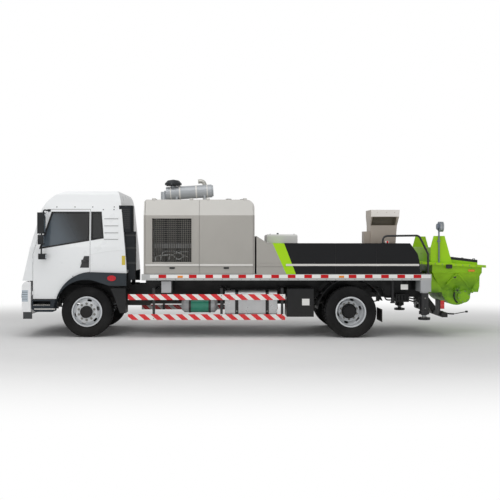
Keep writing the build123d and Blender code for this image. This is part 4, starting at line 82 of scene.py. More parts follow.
def calc(tree, operation, *values):
    """Result of a math operation on numbers or sockets."""
    made = node(tree, "ShaderNodeMath", dict(enumerate(values)), operation=operation)
    return made.outputs[0]


def ranged(tree, value, low=0.0, high=1.0, to_low=0.0, to_high=1.0, **settings):
    """Value taken from one range of numbers to another."""
    return node(tree, "ShaderNodeMapRange", {
        "Value": value, "From Min": low, "From Max": high, "To Min": to_low, "To Max": to_high},
        **settings).outputs["Result"]


def noise(tree, coords, scale, detail, rough=0.5):
    """Cloudy pattern between nought and one."""
    return node(tree, "ShaderNodeTexNoise", {"Vector": coords, "Scale": scale,
                                             "Detail": detail, "Roughness": rough}).outputs["Fac"]


def blank_material(name):
    """Material with an empty node tree and its output node."""
    made = bpy.data.materials.new(name)
    made.use_nodes = True
    made.node_tree.nodes.clear()
    return made, made.node_tree, node(made.node_tree, "ShaderNodeOutputMaterial")


world = bpy.data.worlds.new("white_studio")
world.use_nodes = True
scene.world = world
sky = world.node_tree
sky.nodes.clear()
rays = node(sky, "ShaderNodeLightPath")
seen = calc(sky, "ADD", rays.outputs["Is Camera Ray"], rays.outputs["Is Transmission Ray"])
level = ranged(sky, calc(sky, "MINIMUM", seen, 1.0), to_low=SKY_LEVEL)
paper = node(sky, "ShaderNodeBackground", {"Color": WHITE, "Strength": level})
node(sky, "ShaderNodeOutputWorld", {"Surface": paper.outputs[0]})

for lamp_name, place, size, watts, target in LAMPS:
    light = bpy.data.lights.new(lamp_name, "AREA")
    light.shape = "RECTANGLE"
    light.size, light.size_y = size
    light.energy = watts
    lamp = bpy.data.objects.new(lamp_name, light)
    lamp.location = place
    aim = Vector(target) - Vector(place)
    lamp.rotation_euler = aim.to_track_quat("-Z", "Y").to_euler()
    scene.collection.objects.link(lamp)

camera_data = bpy.data.cameras.new("long_lens")
camera_data.lens = LENS_MM
camera_data.sensor_width = SENSOR_MM
camera_data.shift_x, camera_data.shift_y = FRAME_SHIFT
camera = bpy.data.objects.new("camera", camera_data)
camera.location = CAMERA_PLACE
camera.rotation_euler = (math.radians(90), 0, 0)
scene.collection.objects.link(camera)
scene.camera = camera

floor_shape = bmesh.new()
bmesh.ops.create_grid(floor_shape, x_segments=1, y_segments=1, size=FLOOR_HALF)
floor_mesh = bpy.data.meshes.new("floor")
floor_shape.to_mesh(floor_mesh)
floor_shape.free()
floor = bpy.data.objects.new("floor", floor_mesh)
scene.collection.objects.link(floor)
floor_paint, tree, out = blank_material("floor_paint")
coords = node(tree, "ShaderNodeTexCoord").outputs["Object"]
tone = ranged(tree, noise(tree, coords, 1.4, 3.0), 0.0, 1.0, *FLOOR_TONES)
matt = node(tree, "ShaderNodeBsdfDiffuse", {"Color": tone})
glow = node(tree, "ShaderNodeEmission", {"Color": WHITE, "Strength": 1.0})
reach = node(tree, "ShaderNodeVectorMath", {0: coords, 1: FLOOR_STRETCH}, operation="MULTIPLY")
reach = node(tree, "ShaderNodeVectorMath", {0: reach.outputs[0]}, operation="LENGTH")
fade = ranged(tree, reach.outputs["Value"], *FLOOR_FADE, interpolation_type="SMOOTHSTEP")
blend = node(tree, "ShaderNodeMixShader", {0: fade, 1: matt.outputs[0], 2: glow.outputs[0]})
tree.links.new(blend.outputs[0], out.inputs["Surface"])
floor_mesh.materials.append(floor_paint)

# ---------------------------------------------------------------------------------------------
# Chassis frame. Two pressed steel channel rails with riveted cross members, dipped in black
# chassis paint, with road dust on the flats. Two rows of bolts stand along each web.


def swatch(code):
    """Linear colour of a paint card given as six hex digits."""
    parts = [int(code[i:i + 2], 16) / 255 for i in (0, 2, 4)]
    return [p / 12.92 if p <= 0.04045 else ((p + 0.055) / 1.055) ** 2.4 for p in parts] + [1.0]


DUST = swatch("8d8578")


def varied(tree, coords, code, spread=0.06, scale=1.6):
    """Paint colour with soft uneven patches, lighter and darker by spread."""
    colour = swatch(code)
    ramp = node(tree, "ShaderNodeValToRGB", {"Fac": noise(tree, coords, scale, 4.0, 0.6)})
    dark, light = ramp.color_ramp.elements
    dark.position, light.position = 0.35, 0.68
    dark.color = [c * (1 - spread) for c in colour[:3]] + [1.0]
    light.color = [min(1.0, c * (1 + spread)) for c in colour[:3]] + [1.0]
    return ramp.outputs["Color"]


def laid_over(tree, coords, under, over, mask):
    """One colour over another where the mask is one; (code, spread, scale) is uneven paint."""
    under, over = [varied(tree, coords, *paint) if isinstance(paint, tuple) else paint
                   for paint in (under, over)]
    return node(tree, "ShaderNodeMix", {0: mask, 6: under, 7: over},
                data_type="RGBA").outputs[2]


def apart(tree, coords, letters):
    """Sockets of the coordinates that the letters name."""
    split = node(tree, "ShaderNodeSeparateXYZ", {"Vector": coords})
    sockets = [split.outputs[letter] for letter in letters]
    return sockets if len(sockets) > 1 else sockets[0]


def dusted(tree, colour, coords, top, amount):
    """The colour under road dust that thins out upwards and ends at the height top."""
    rise = ranged(tree, apart(tree, coords, "Z"), top, 0.0, 0.0, amount)
    cover = calc(tree, "MULTIPLY", rise, noise(tree, coords, 7.0, 6.0, 0.7))
    return laid_over(tree, coords, colour, DUST, cover)


def finished(name, colour, rough=0.4, metal=0.0, coat=0.0, peel=(260.0, 0.04), spread=0.05,
             dust=(0.0, 0.0), shade=None, sheen=0.5):
    """Painted or bare metal, rubber or plastic: uneven colour, dust, grain and fine bumps."""
    made, tree, out = blank_material(name)
    coords = node(tree, "ShaderNodeTexCoord").outputs["Object"]
    tint = shade(tree, coords) if shade else varied(tree, coords, colour, spread)
    if dust[1]:
        tint = dusted(tree, tint, coords, *dust)
    gloss = ranged(tree, noise(tree, coords, 4.5, 5.0), 0.3, 0.7, rough * 0.85,
                   min(1.0, rough * 1.2))
    bumps = node(tree, "ShaderNodeBump", {"Height": noise(tree, coords, peel[0], 2.0),
                                          "Strength": peel[1], "Distance": 0.002})
    shader = node(tree, "ShaderNodeBsdfPrincipled", {
        "Base Color": tint, "Roughness": gloss, "Normal": bumps.outputs["Normal"]})
    shader.inputs["Metallic"].default_value = metal
    shader.inputs["Specular IOR Level"].default_value = sheen
    shader.inputs["Coat Weight"].default_value = coat
    shader.inputs["Coat Roughness"].default_value = 0.12
    tree.links.new(shader.outputs[0], out.inputs["Surface"])
    return made


def dress(material, *names):
    """Give CAD nodes their finish."""
    for name in names:
        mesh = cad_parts[name].data
        mesh.materials.clear()
        mesh.materials.append(material)


def place_piece(shape, name, body, material, crease=35.0):
    """Closed bmesh shape as a finished piece that rides on a body."""
    bmesh.ops.remove_doubles(shape, verts=shape.verts, dist=0.00005)
    bmesh.ops.recalc_face_normals(shape, faces=shape.faces)
    mesh = bpy.data.meshes.new(name)
    shape.to_mesh(mesh)
    shape.free()
    mesh.shade_smooth()
    mesh.set_sharp_from_angle(angle=math.radians(crease))
    mesh.materials.append(material)
    piece = bpy.data.objects.new(name, mesh)
    scene.collection.objects.link(piece)
    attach(piece, body)
    return piece


def box_between(shape, one, other, edge=0.0, segments=1):
    """Block between two opposite corners, its edges eased."""
    low, high = [Vector(corner) for corner in zip(*map(sorted, zip(one, other)))]
    verts = bmesh.ops.create_cube(shape, size=1.0, matrix=Matrix.LocRotScale(
        (high + low) / 2, None, high - low))["verts"]
    if edge:
        edges = {e for v in verts for e in v.link_edges}
        bmesh.ops.bevel(shape, geom=list(edges), offset=edge, segments=segments,
                        affect="EDGES", profile=0.5, material=-1)
    return verts


AXES = {"x": Matrix.Rotation(math.radians(90), 4, "Y"),
        "y": Matrix.Rotation(math.radians(-90), 4, "X"), "z": Matrix.Identity(4)}


def round_between(shape, centre, axis, length, radius, end_radius=None, sides=24, edge=0.0):
    """Round or many-sided bar or cone about a middle point, its rims eased."""
    verts = bmesh.ops.create_cone(
        shape, cap_ends=True, segments=sides, radius1=radius,
        radius2=radius if end_radius is None else end_radius, depth=length,
        matrix=Matrix.Translation(centre) @ AXES[axis])["verts"]
    if edge:
        rims = {e for v in verts for e in v.link_edges
                if any(len(f.verts) > 4 for f in e.link_faces)}
        bmesh.ops.bevel(shape, geom=list(rims), offset=edge, segments=1, affect="EDGES",
                        profile=0.5, material=-1)
    return verts


def bolt(shape, centre, axis, radius=0.012, height=0.009):
    """Hexagon head on its washer, standing along the axis."""
    round_between(shape, centre, axis, height * 0.4, radius * 1.35, sides=16)
    top = Vector(centre) + AXES[axis].to_3x3() @ Vector((0, 0, height * 0.7))
    under = Vector(centre) - AXES[axis].to_3x3() @ Vector((0, 0, height * 0.7))
    for head in (top, under):
        round_between(shape, head, axis, height, radius, sides=6)


def ring(count, start=0.0):
    """Cosine and sine of equal steps round a circle, from a start angle in degrees."""
    angles = [math.radians(start) + 2 * math.pi * index / count for index in range(count)]
    return [(math.cos(angle), math.sin(angle)) for angle in angles]


def along(station):
    """X in metres of a station counted rearwards from the front axle in millimetres."""
    return (station - 3303.0) / 1000.0


chassis_black = finished("chassis_black", "111214", rough=0.5, coat=0.05, peel=(120.0, 0.08),
                         spread=0.2, dust=(0.9, 0.12))
dress(chassis_black, "chassis_frame", "front_axle", "rear_axle", "knuckle_left",
      "knuckle_right", "tie_rod", "outrigger_beams", "rear_bumper")

RAIL_FACE = 0.430
BOLT_ROWS = (0.785, 0.955)
BOLT_STATIONS = list(range(2150, 3600, 180)) + list(range(4480, 5900, 160))
shape = bmesh.new()
for side in (-1, 1):
    for station in BOLT_STATIONS:
        for z in BOLT_ROWS:
            round_between(shape, (along(station), side * (RAIL_FACE + 0.004), z), "y", 0.008,
                          0.013, sides=6)
place_piece(shape, "rail_bolts", "truck", chassis_black)

# ---------------------------------------------------------------------------------------------
# Tyres. Steel-belted radials of black rubber: three straight grooves round the tread, cross
# slots in its shoulders and ribs, and fine rings on the side walls.
TYRE_CENTRE_Z = 0.506
FRONT_AXLE = -3.303
REAR_AXLE = 1.897
TYRE_STEPS = 132
FRONT_PLANES = (0.975,)
REAR_PLANES = (0.764, 1.076)
SIDE_WALL = [
    # width from the middle plane, radius: bead, rim strip, wall, decoration rings, shoulder
    (0.1035, 0.3045), (0.112, 0.309), (0.119, 0.318), (0.1215, 0.327), (0.1235, 0.328),
    (0.1295, 0.345), (0.1325, 0.362), (0.1345, 0.3635), (0.1365, 0.380), (0.1370, 0.392),
    (0.1360, 0.415), (0.1348, 0.4165), (0.1325, 0.440), (0.1315, 0.4415), (0.1275, 0.461),
    (0.1225, 0.478), (0.1150, 0.492), (0.1060, 0.5000), (0.0960, 0.5040),
]
SHOULDER = (0.070, 0.118, 0.494)
RIB = (0.013, 0.050, 0.500)
SLOT_INSET = 0.003
SHOULDER_DEEP = -0.011
RIB_DEEP = -0.007
TREAD_HALF = [
    # width, radius: shoulder rib, groove, rib, half of the middle groove
    (0.0700, 0.5058), (0.0640, 0.4920), (0.0560, 0.4920), (0.0500, 0.5060), (0.0130, 0.5060),
    (0.0065, 0.4925),
]
TYRES = {
    # place: axle X, side, widths of the tyres' middle planes from the truck's middle
    "front_left": (FRONT_AXLE, -1, FRONT_PLANES), "front_right": (FRONT_AXLE, 1, FRONT_PLANES),
    "rear_left": (REAR_AXLE, -1, REAR_PLANES), "rear_right": (REAR_AXLE, 1, REAR_PLANES),
}
tyre_black = finished("tyre_black", "101011", rough=0.75, peel=(420.0, 0.12), spread=0.16,
                      dust=(0.5, 0.06), sheen=0.35)


def spun_about_axle(shape, outline, x, y, side, steps, closed=True):
    """Turn a profile of (width, radius) points round a wheel's axle line."""
    verts = [shape.verts.new((x, y + side * w, TYRE_CENTRE_Z + r)) for w, r in outline]
    edges = [shape.edges.new(pair) for pair in zip(verts, verts[1:])]
    if closed:
        edges.append(shape.edges.new((verts[-1], verts[0])))
    bmesh.ops.spin(shape, geom=verts + edges, cent=(x, y, TYRE_CENTRE_Z), axis=(0, 1, 0),
                   dvec=(0, 0, 0), angle=2 * math.pi, steps=steps, use_merge=True)


for place, (axle_x, side, planes) in TYRES.items():
    cad_node = "tyre_" + place
    shape = bmesh.new()
    half = SIDE_WALL + TREAD_HALF
    outline = half + [(-w, r) for w, r in reversed(half)]
    for width in planes:
        spun_about_axle(shape, outline, axle_x, side * width, 1, TYRE_STEPS)
    shape.faces.ensure_lookup_table()
    bmesh.ops.recalc_face_normals(shape, faces=shape.faces)
    slots = []
    for face in shape.faces:
        middle = face.calc_center_median()
        radius = math.hypot(middle.x - axle_x, middle.z - TYRE_CENTRE_Z)
        turn = math.degrees(math.atan2(middle.z - TYRE_CENTRE_Z, middle.x - axle_x))
        step = round(turn / (360 / TYRE_STEPS) - 0.5)
        offset = min(abs(abs(middle.y) - width) for width in planes)
        on_shoulder = SHOULDER[0] < offset < SHOULDER[1] and radius > SHOULDER[2]
        on_rib = RIB[0] < offset < RIB[1] and radius > RIB[2]
        if (on_shoulder and step % 3 == 0) or (on_rib and step % 2 == 0):
            slots.append((face, on_rib))
    for deep, picked in ((SHOULDER_DEEP, [f for f, rib in slots if not rib]),
                         (RIB_DEEP, [f for f, rib in slots if rib])):
        bmesh.ops.inset_individual(shape, faces=picked, thickness=SLOT_INSET, depth=deep)
    tyre = place_piece(shape, "tyre_rubber_" + place, "wheel_" + place,
                       tyre_black, crease=32.0)
    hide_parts(cad_node)

# ---------------------------------------------------------------------------------------------
# Wheels. Silver-painted pressed steel discs in rolled rims, each held by ten nuts on studs; the
# hub cover in the middle is black and screwed on round its rim.
rim_silver = finished("rim_silver", "d2d5d8", rough=0.32, metal=0.25, coat=0.15,
                      peel=(180.0, 0.05), spread=0.06, dust=(0.8, 0.08))
dress(rim_silver, "rim_front_left", "rim_front_right", "rim_rear_left", "rim_rear_right")
nut_zinc = finished("nut_zinc", "8e8d88", rough=0.38, metal=0.8, peel=(150.0, 0.1), spread=0.2)
cap_black = finished("cap_black", "0e0e10", rough=0.45, coat=0.1, spread=0.15,
                     dust=(0.6, 0.08), sheen=0.3)
NUT_CIRCLE = 0.162
NUT_STACK = [
    # middle beyond the disc's face, length, radius, sides, eased edge: washer, nut, stud
    (0.003, 0.006, 0.0235, 20, 0.0), (0.020, 0.030, 0.0178, 6, 0.0015),
    (0.034, 0.016, 0.0105, 14, 0.0015),
]
FRONT_HUB = [(0.148, 0.120), (0.160, 0.1195), (0.164, 0.117), (0.2262, 0.1165), (0.2278, 0.114),
             (0.2278, 0.088), (0.2258, 0.086), (0.2258, 0.048), (0.2280, 0.045), (0.2280, 0.0)]
REAR_HUB = [(0.016, 0.150), (0.020, 0.1495), (0.024, 0.125), (0.108, 0.1245), (0.1130, 0.120),
            (0.1138, 0.090), (0.1112, 0.087), (0.1112, 0.0)]
WHEELS = {
    # name: axle X, side, middle plane, disc face, hub profile, circle of the hub's screws
    "front_left": (FRONT_AXLE, -1, 0.975, 0.150, FRONT_HUB, 0.099),
    "front_right": (FRONT_AXLE, 1, 0.975, 0.150, FRONT_HUB, 0.099),
    "rear_left": (REAR_AXLE, -1, 0.920, 0.014, REAR_HUB, 0.104),
    "rear_right": (REAR_AXLE, 1, 0.920, 0.014, REAR_HUB, 0.104),
}
for place, (axle_x, side, plane, disc, hub, circle) in WHEELS.items():
    body = "wheel_" + place
    nuts = bmesh.new()
    for cosine, sine in ring(10, 90.0):
        x = axle_x + NUT_CIRCLE * cosine
        z = TYRE_CENTRE_Z + NUT_CIRCLE * sine
        for away, length, radius, sides, edge in NUT_STACK:
            round_between(nuts, (x, side * (plane + disc + away), z), "y", length, radius,
                          sides=sides, edge=edge)
    place_piece(nuts, "wheel_nuts_" + place, body, nut_zinc)
    cover = bmesh.new()
    spun_about_axle(cover, hub, axle_x, side * plane, side, 56, closed=False)
    bmesh.ops.remove_doubles(cover, verts=cover.verts, dist=0.0002)
    for cosine, sine in ring(8, 22.5):
        bolt(cover, (axle_x + circle * cosine, side * (plane + hub[-3][0]),
                     TYRE_CENTRE_Z + circle * sine), "y", 0.0065, 0.004)
    place_piece(cover, "hub_cover_" + place, body, cap_black)

# ---------------------------------------------------------------------------------------------
# Drive line, tanks and boxes under the deck. Cast gearbox and engine block, a polished
# aluminium fuel tank in steel straps, air bottles with a green one, sheet steel tool boxes.
TANK_STRAPS = (2960, 3560)
BOTTLE_SADDLES = (2034, 2424)
cast_iron = finished("cast_iron", "4a4b4c", rough=0.6, metal=0.5, peel=(90.0, 0.25), spread=0.2,
                     dust=(1.1, 0.4))
dress(cast_iron, "drive_line", "pump_cylinders")


def band(tree, value, low, high):
    """One between two limits of the value, and nothing outside them."""
    return calc(tree, "MULTIPLY", calc(tree, "GREATER_THAN", value, low),
                calc(tree, "LESS_THAN", value, high))


def all_of(tree, mask, *others):
    """One where every mask is one."""
    for other in others:
        mask = calc(tree, "MULTIPLY", mask, other)
    return mask


def either_band(tree, value, middles, half):
    """One within half a width of either of two middle stations."""
    return calc(tree, "MAXIMUM", *[band(tree, value, along(middle - half), along(middle + half))
                                   for middle in middles])


def strapped_tank(tree, coords):
    """Bare aluminium with two dark rubber-lined straps."""
    straps = either_band(tree, apart(tree, coords, "X"), TANK_STRAPS, 33)
    return laid_over(tree, coords, ("c9cbcc", 0.08, 2.5), ("26282a", 0.2, 9.0), straps)


def bottle_paint(tree, coords):
    """Green middle bottle between dark saddles, grey enamel on both ends."""
    x = apart(tree, coords, "X")
    body = laid_over(tree, coords, ("a3a6a8", 0.12, 3.0), ("1d8a70", 0.12, 3.0),
                     band(tree, x, along(2014), along(2444)))
    return laid_over(tree, coords, body, ("1d1e20", 0.2, 9.0),
                     either_band(tree, x, BOTTLE_SADDLES, 23))


tank_metal = finished("tank_metal", "c9cbcc", rough=0.3, metal=0.6, peel=(40.0, 0.03),
                      dust=(0.95, 0.3), shade=strapped_tank)
dress(tank_metal, "fuel_tank")
bottle_enamel = finished("bottle_enamel", "1d8a70", rough=0.35, coat=0.3, dust=(0.95, 0.3),
                         shade=bottle_paint)
dress(bottle_enamel, "air_tank")
box_black = finished("box_black", "131416", rough=0.48, coat=0.08, peel=(160.0, 0.06),
                     spread=0.15, dust=(0.9, 0.10), sheen=0.35)
dress(box_black, "tool_boxes", "mudguards")

tank_low, tank_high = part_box("fuel_tank")
shape = bmesh.new()
for x in map(along, TANK_STRAPS):
    for z in (0.52, 0.78):
        bolt(shape, (x, tank_low.y + 0.001, z), "y", 0.012, 0.008)
place_piece(shape, "tank_strap_bolts", "truck", nut_zinc)
shape = bmesh.new()
FILLER = (along(2790), -0.98)
round_between(shape, (*FILLER, tank_high.z + 0.012), "z", 0.03, 0.052, sides=32, edge=0.003)
round_between(shape, (*FILLER, tank_high.z + 0.036), "z", 0.024, 0.06, sides=12, edge=0.004)
place_piece(shape, "fuel_cap", "truck", cap_black)

plate_white = finished("plate_white", "e9e9e6", rough=0.4, coat=0.2, spread=0.02)
shape = bmesh.new()
box_between(shape, (along(4240), -1.204, 0.640), (along(4386), -1.2015, 0.768), edge=0.0006)
place_piece(shape, "tool_box_plate", "truck", plate_white)

# ---------------------------------------------------------------------------------------------
# Side guards. Two aluminium planks a side on steel posts, with slanted red and white
# reflecting stripes on their outer faces.
STRIPE_PITCH = 0.245
STRIPE_SLOPE = 1.15
STRIPE_SHARE = 0.52
PLANK_BACK = 1.189
RIVET_FACE = 1.2165
RIVET_INSET = 0.028
POST_STATIONS = (1330, 2660, 3850)
PLANKS = [
    # Z low, Z high, X of a red stripe's front edge at the top
    (0.354, 0.465, along(1269)), (0.746, 0.857, along(971)),
]


def slanted_stripes(tree, coords):
    """Red stripes on white planks, black posts and arms behind them."""
    x, y, z = apart(tree, coords, "XYZ")
    colour = varied(tree, coords, "1b1c1e", 0.2, 5.0)
    outside = calc(tree, "GREATER_THAN", calc(tree, "ABSOLUTE", y), PLANK_BACK)
    for low, high, start in PLANKS:
        drop = calc(tree, "MULTIPLY_ADD", z, STRIPE_SLOPE, -STRIPE_SLOPE * high)
        run = calc(tree, "ADD", calc(tree, "ADD", x, drop), -start)
        turn = calc(tree, "FLOORED_MODULO", run, STRIPE_PITCH)
        tape = laid_over(tree, coords, ("efefec", 0.03, 4.0), ("e0101c", 0.06, 4.0),
                         band(tree, turn, 0.0, STRIPE_PITCH * STRIPE_SHARE))
        here = all_of(tree, band(tree, z, low - 0.001, high + 0.001), outside)
        colour = laid_over(tree, coords, colour, tape, here)
    return colour


guard_stripes = finished("guard_stripes", "efefec", rough=0.3, coat=0.25, dust=(0.9, 0.12),
                         shade=slanted_stripes)
dress(guard_stripes, "side_guards")
shape = bmesh.new()
for side in (-1, 1):
    for x in map(along, POST_STATIONS):
        for low, high, _ in PLANKS:
            for z in (low + RIVET_INSET, high - RIVET_INSET):
                round_between(shape, (x, side * RIVET_FACE, z), "y", 0.004, 0.010, sides=12,
                              edge=0.001)
place_piece(shape, "guard_rivets", "truck", nut_zinc)

# ---------------------------------------------------------------------------------------------
# Deck. Light grey steel rails and bearers; red squares on white reflecting tape run along both
# rails, with amber marker lamps between them, and the joints are bolted.


def deck_shades(tree, coords):
    """Light grey rails, and black bearers below and between them."""
    return laid_over(tree, coords, ("b9bab9", 0.04, 1.6), ("121315", 0.2, 4.0),
                     band(tree, apart(tree, coords, "Z"), 0.90, 1.1285))


deck_grey = finished("deck_grey", "b9bab9", rough=0.4, coat=0.1, peel=(200.0, 0.05),
                     shade=deck_shades, sheen=0.35)
dress(deck_grey, "deck_frame")
tape_white = finished("tape_white", "f1f1ee", rough=0.3, coat=0.3, spread=0.03)
tape_red = finished("tape_red", "c9060f", rough=0.4, coat=0.05, spread=0.06, sheen=0.25)
TAPE_FACE = 1.2200
TAPE_ENDS = (along(1257), along(6760))
TAPE_Z = (1.176, 1.240)
MARKER_STATIONS = (1851, 5012)
DECK_BOLT_STATIONS = range(1200, 6750, 185)
TAPE_RED = 0.151
RED_STATIONS = ([1426] + [2021 + 323 * count for count in range(9)]
                + [5152 + 318 * count for count in range(5)])
tape = {"tape_white": bmesh.new(), "tape_red": bmesh.new()}
for side in (-1, 1):
    box_between(tape["tape_white"], (TAPE_ENDS[0], side * (TAPE_FACE - 0.0002), TAPE_Z[0]),
                (TAPE_ENDS[1], side * (TAPE_FACE + 0.0008), TAPE_Z[1]))
    for x in map(along, RED_STATIONS):
        box_between(tape["tape_red"], (x, side * (TAPE_FACE + 0.0005), TAPE_Z[0] - 0.001),
                    (x + TAPE_RED, side * (TAPE_FACE + 0.0014), TAPE_Z[1] + 0.001))
place_piece(tape["tape_white"], "deck_tape_white", "truck", tape_white)
place_piece(tape["tape_red"], "deck_tape_red", "truck", tape_red)

amber_lens = finished("amber_lens", "f08a12", rough=0.16, coat=0.6, peel=(90.0, 0.3),
                      spread=0.1)
shape = bmesh.new()
for side in (-1, 1):
    for x in map(along, MARKER_STATIONS):
        box_between(shape, (x - 0.052, side * 1.2190, 1.180), (x + 0.052, side * 1.2300, 1.222),
                    edge=0.006, segments=3)
place_piece(shape, "marker_lamps", "truck", amber_lens)

shape = bmesh.new()
for side in (-1, 1):
    for x in map(along, DECK_BOLT_STATIONS):
        round_between(shape, (x, side * 1.2215, 1.150), "y", 0.004, 0.009, sides=6)
place_piece(shape, "deck_bolts", "truck", nut_zinc)

# ---------------------------------------------------------------------------------------------
# Power unit housing. Folded sheets in beige grey, with a painted highlight on the slanted shoulder
# and roof.
# Crossed wires in a frame cover the cooler and its pipes; each door has a moulding and a latch.
GRILLE = (along(1300), along(2071), 1.490, 2.343)


def housing_grey_with_painted_highlight(tree, coords):
    """Beige grey with a painted highlight on the slanted shoulder and roof, the grille's bars
    black.
    """
    x, z = apart(tree, coords, "XZ")
    x0, x1, z0, z1 = GRILLE
    # painted highlight: lighter grey from Z 2.40 upwards, on the shoulder and roof
    paint = laid_over(tree, coords, ("a9a6a0", 0.035, 0.8), ("c4c2bd", 0.03, 0.8),
                      ranged(tree, z, 2.40, 2.412))
    return laid_over(tree, coords, paint, ("1b1c1e", 0.1, 6.0), all_of(
        tree, band(tree, x, x0 + 0.002, x1 - 0.002), band(tree, z, z0 + 0.002, z1 - 0.002)))


housing_grey = finished("housing_grey", "b0ada7", rough=0.36, coat=0.2, peel=(220.0, 0.05),
                        shade=housing_grey_with_painted_highlight)
dress(housing_grey, "hood_shell", "hood_door_front_left", "hood_door_front_right",
      "hood_door_rear_left", "hood_door_rear_right")


def cooler_shades(tree, coords):
    """Black cooler cores and engine, with the light grey shelf between them."""
    fins = node(tree, "ShaderNodeTexWave", {"Vector": coords, "Scale": 45.0, "Distortion": 0.6},
                bands_direction="Z")
    core = laid_over(tree, coords, ("0d0e0f", 0.2, 6.0), ("232527", 0.2, 6.0),
                     fins.outputs["Fac"])
    return laid_over(tree, coords, core, ("8f9091", 0.08, 6.0),
                     band(tree, apart(tree, coords, "Z"), 1.758, 1.852))


cooler_black = finished("cooler_black", "202124", rough=0.55, metal=0.2, peel=(70.0, 0.3),
                        shade=cooler_shades)
dress(cooler_black, "power_unit")

mesh_wire = finished("mesh_wire", "85827b", rough=0.5, spread=0.12)
trim_light = finished("trim_light", "dad8d4", rough=0.35, coat=0.2, spread=0.03)
handle_black = finished("handle_black", "18191b", rough=0.35, coat=0.2, spread=0.12)
WIRE_PITCH = 0.0385
WIRE_R = 0.0042
WIRE_FACE = 1.176
DOOR_FACE = 1.199
GRILLE_RIM = 0.022
for side, place in ((-1, "left"), (1, "right")):
    body = "hood_door_front_" + place
    net = bmesh.new()
    x0, x1, z0, z1 = GRILLE
    across = side * WIRE_FACE
    columns = round((x1 - x0) / WIRE_PITCH)
    rows = round((z1 - z0) / WIRE_PITCH)
    for count in range(1, columns):
        x = x0 + (x1 - x0) * count / columns
        round_between(net, (x, across, (z0 + z1) / 2), "z", z1 - z0, WIRE_R, sides=6)
    for count in range(1, rows):
        z = z0 + (z1 - z0) * count / rows
        round_between(net, ((x0 + x1) / 2, across + side * WIRE_R * 1.6, z), "x", x1 - x0,
                      WIRE_R, sides=6)
    place_piece(net, "grille_wire_" + place, body, mesh_wire)
    rim = bmesh.new()
    left, right, foot, head = x0 - GRILLE_RIM, x1 + GRILLE_RIM, z0 - GRILLE_RIM, z1 + GRILLE_RIM
    for low, high in (((left, foot), (right, z0)), ((left, z1), (right, head)),
                      ((left, z0), (x0, z1)), ((x1, z0), (right, z1))):
        box_between(rim, (low[0], side * DOOR_FACE, low[1]), (high[0], side * 1.204, high[1]),
                    edge=0.0012)
    place_piece(rim, "grille_frame_" + place, body, housing_grey)

DOORS = {"front": (-2.140, -1.082), "rear": (-1.076, -0.023)}
MOULDING_Z = (1.4105, 1.4525)
LATCH_Z = 1.372
for side, place in ((-1, "left"), (1, "right")):
    for span, (x0, x1) in DOORS.items():
        body = "hood_door_" + span + "_" + place
        trim = bmesh.new()
        box_between(trim, (x0 + 0.004, side * 1.2105, MOULDING_Z[0]),
                    (x1 - 0.004, side * 1.2165, MOULDING_Z[1]), edge=0.002)
        place_piece(trim, "moulding_" + span + "_" + place, body, trim_light)
        latch = bmesh.new()
        middle = (x0 + x1) / 2
        box_between(latch, (middle - 0.052, side * DOOR_FACE, LATCH_Z - 0.017),
                    (middle + 0.052, side * 1.2125, LATCH_Z + 0.017), edge=0.004, segments=2)
        round_between(latch, (middle + 0.03, side * 1.214, LATCH_Z), "y", 0.006, 0.011,
                      sides=20, edge=0.001)
        box_between(latch, (middle - 0.036, side * DOOR_FACE, LATCH_Z - 0.007),
                    (middle + 0.008, side * 1.2125 + (0.004 if side > 0 else 0),
                     LATCH_Z + 0.007), edge=0.002)
        place_piece(latch, "latch_" + span + "_" + place, body, handle_black)

PIPE_Y = 1.10
PIPES = [
    # in the housing behind the wire: points (x, z) of bright charge-air and coolant pipes
    ([(-1.95, 1.50), (-1.95, 1.60), (-1.62, 1.64), (-1.50, 1.52), (-1.36, 1.62)], 0.017),
    ([(-1.86, 1.50), (-1.80, 1.70), (-1.55, 1.70), (-1.30, 1.58)], 0.013),
    ([(-1.70, 1.50), (-1.66, 1.62), (-1.45, 1.69), (-1.30, 1.69)], 0.012),
]


def piped(shape, points, radius, sides=10):
    """Pipe through the points: a ring drawn from each to the next and turned to halve the bend."""
    points = [Vector(p) for p in points]
    heading = (points[1] - points[0]).normalized()
    turn = Vector((0, 0, 1)).rotation_difference(heading)
    ring = bmesh.ops.create_circle(
        shape, cap_ends=True, segments=sides, radius=radius,
        matrix=Matrix.LocRotScale(points[0], turn, None))["verts"]
    edges = list({e for v in ring for e in v.link_edges})
    for count in range(1, len(points)):
        step = points[count] - points[count - 1]
        grown = bmesh.ops.extrude_edge_only(shape, edges=edges)["geom"]
        verts = [g for g in grown if isinstance(g, bmesh.types.BMVert)]
        edges = [g for g in grown if isinstance(g, bmesh.types.BMEdge)]
        bmesh.ops.translate(shape, verts=verts, vec=step)
        after = points[min(count + 1, len(points) - 1)] - points[count]
        ahead = ((step.normalized() + after.normalized()) / 2 if after.length else step)
        swing = heading.rotation_difference(ahead.normalized()).to_matrix()
        bmesh.ops.rotate(shape, verts=verts, cent=points[count], matrix=swing)
        heading = ahead.normalized()
    bmesh.ops.edgeloop_fill(shape, edges=edges)


def bent(points, bend, steps=5):
    """Corner points of a pipe's runs with each corner turned in short equal steps."""
    points = [Vector(p) for p in points]
    line = [points[0]]
    for before, corner, after in zip(points, points[1:], points[2:]):
        cut = min(bend, (corner - before).length * 0.45, (after - corner).length * 0.45)
        enter = corner + (before - corner).normalized() * cut
        leave = corner + (after - corner).normalized() * cut
        for count in range(steps + 1):
            t = count / steps
            line.append(enter.lerp(corner, t).lerp(corner.lerp(leave, t), t))
    return line + [points[-1]]


pipe_bright = finished("pipe_bright", "c4c6c6", rough=0.28, metal=0.75, spread=0.1)
shape = bmesh.new()
for side in (-1, 1):
    for points, radius in PIPES:
        piped(shape, bent([(x, side * PIPE_Y, z) for x, z in points], 0.06), radius)
place_piece(shape, "cooler_pipes", "truck", pipe_bright, crease=50.0)

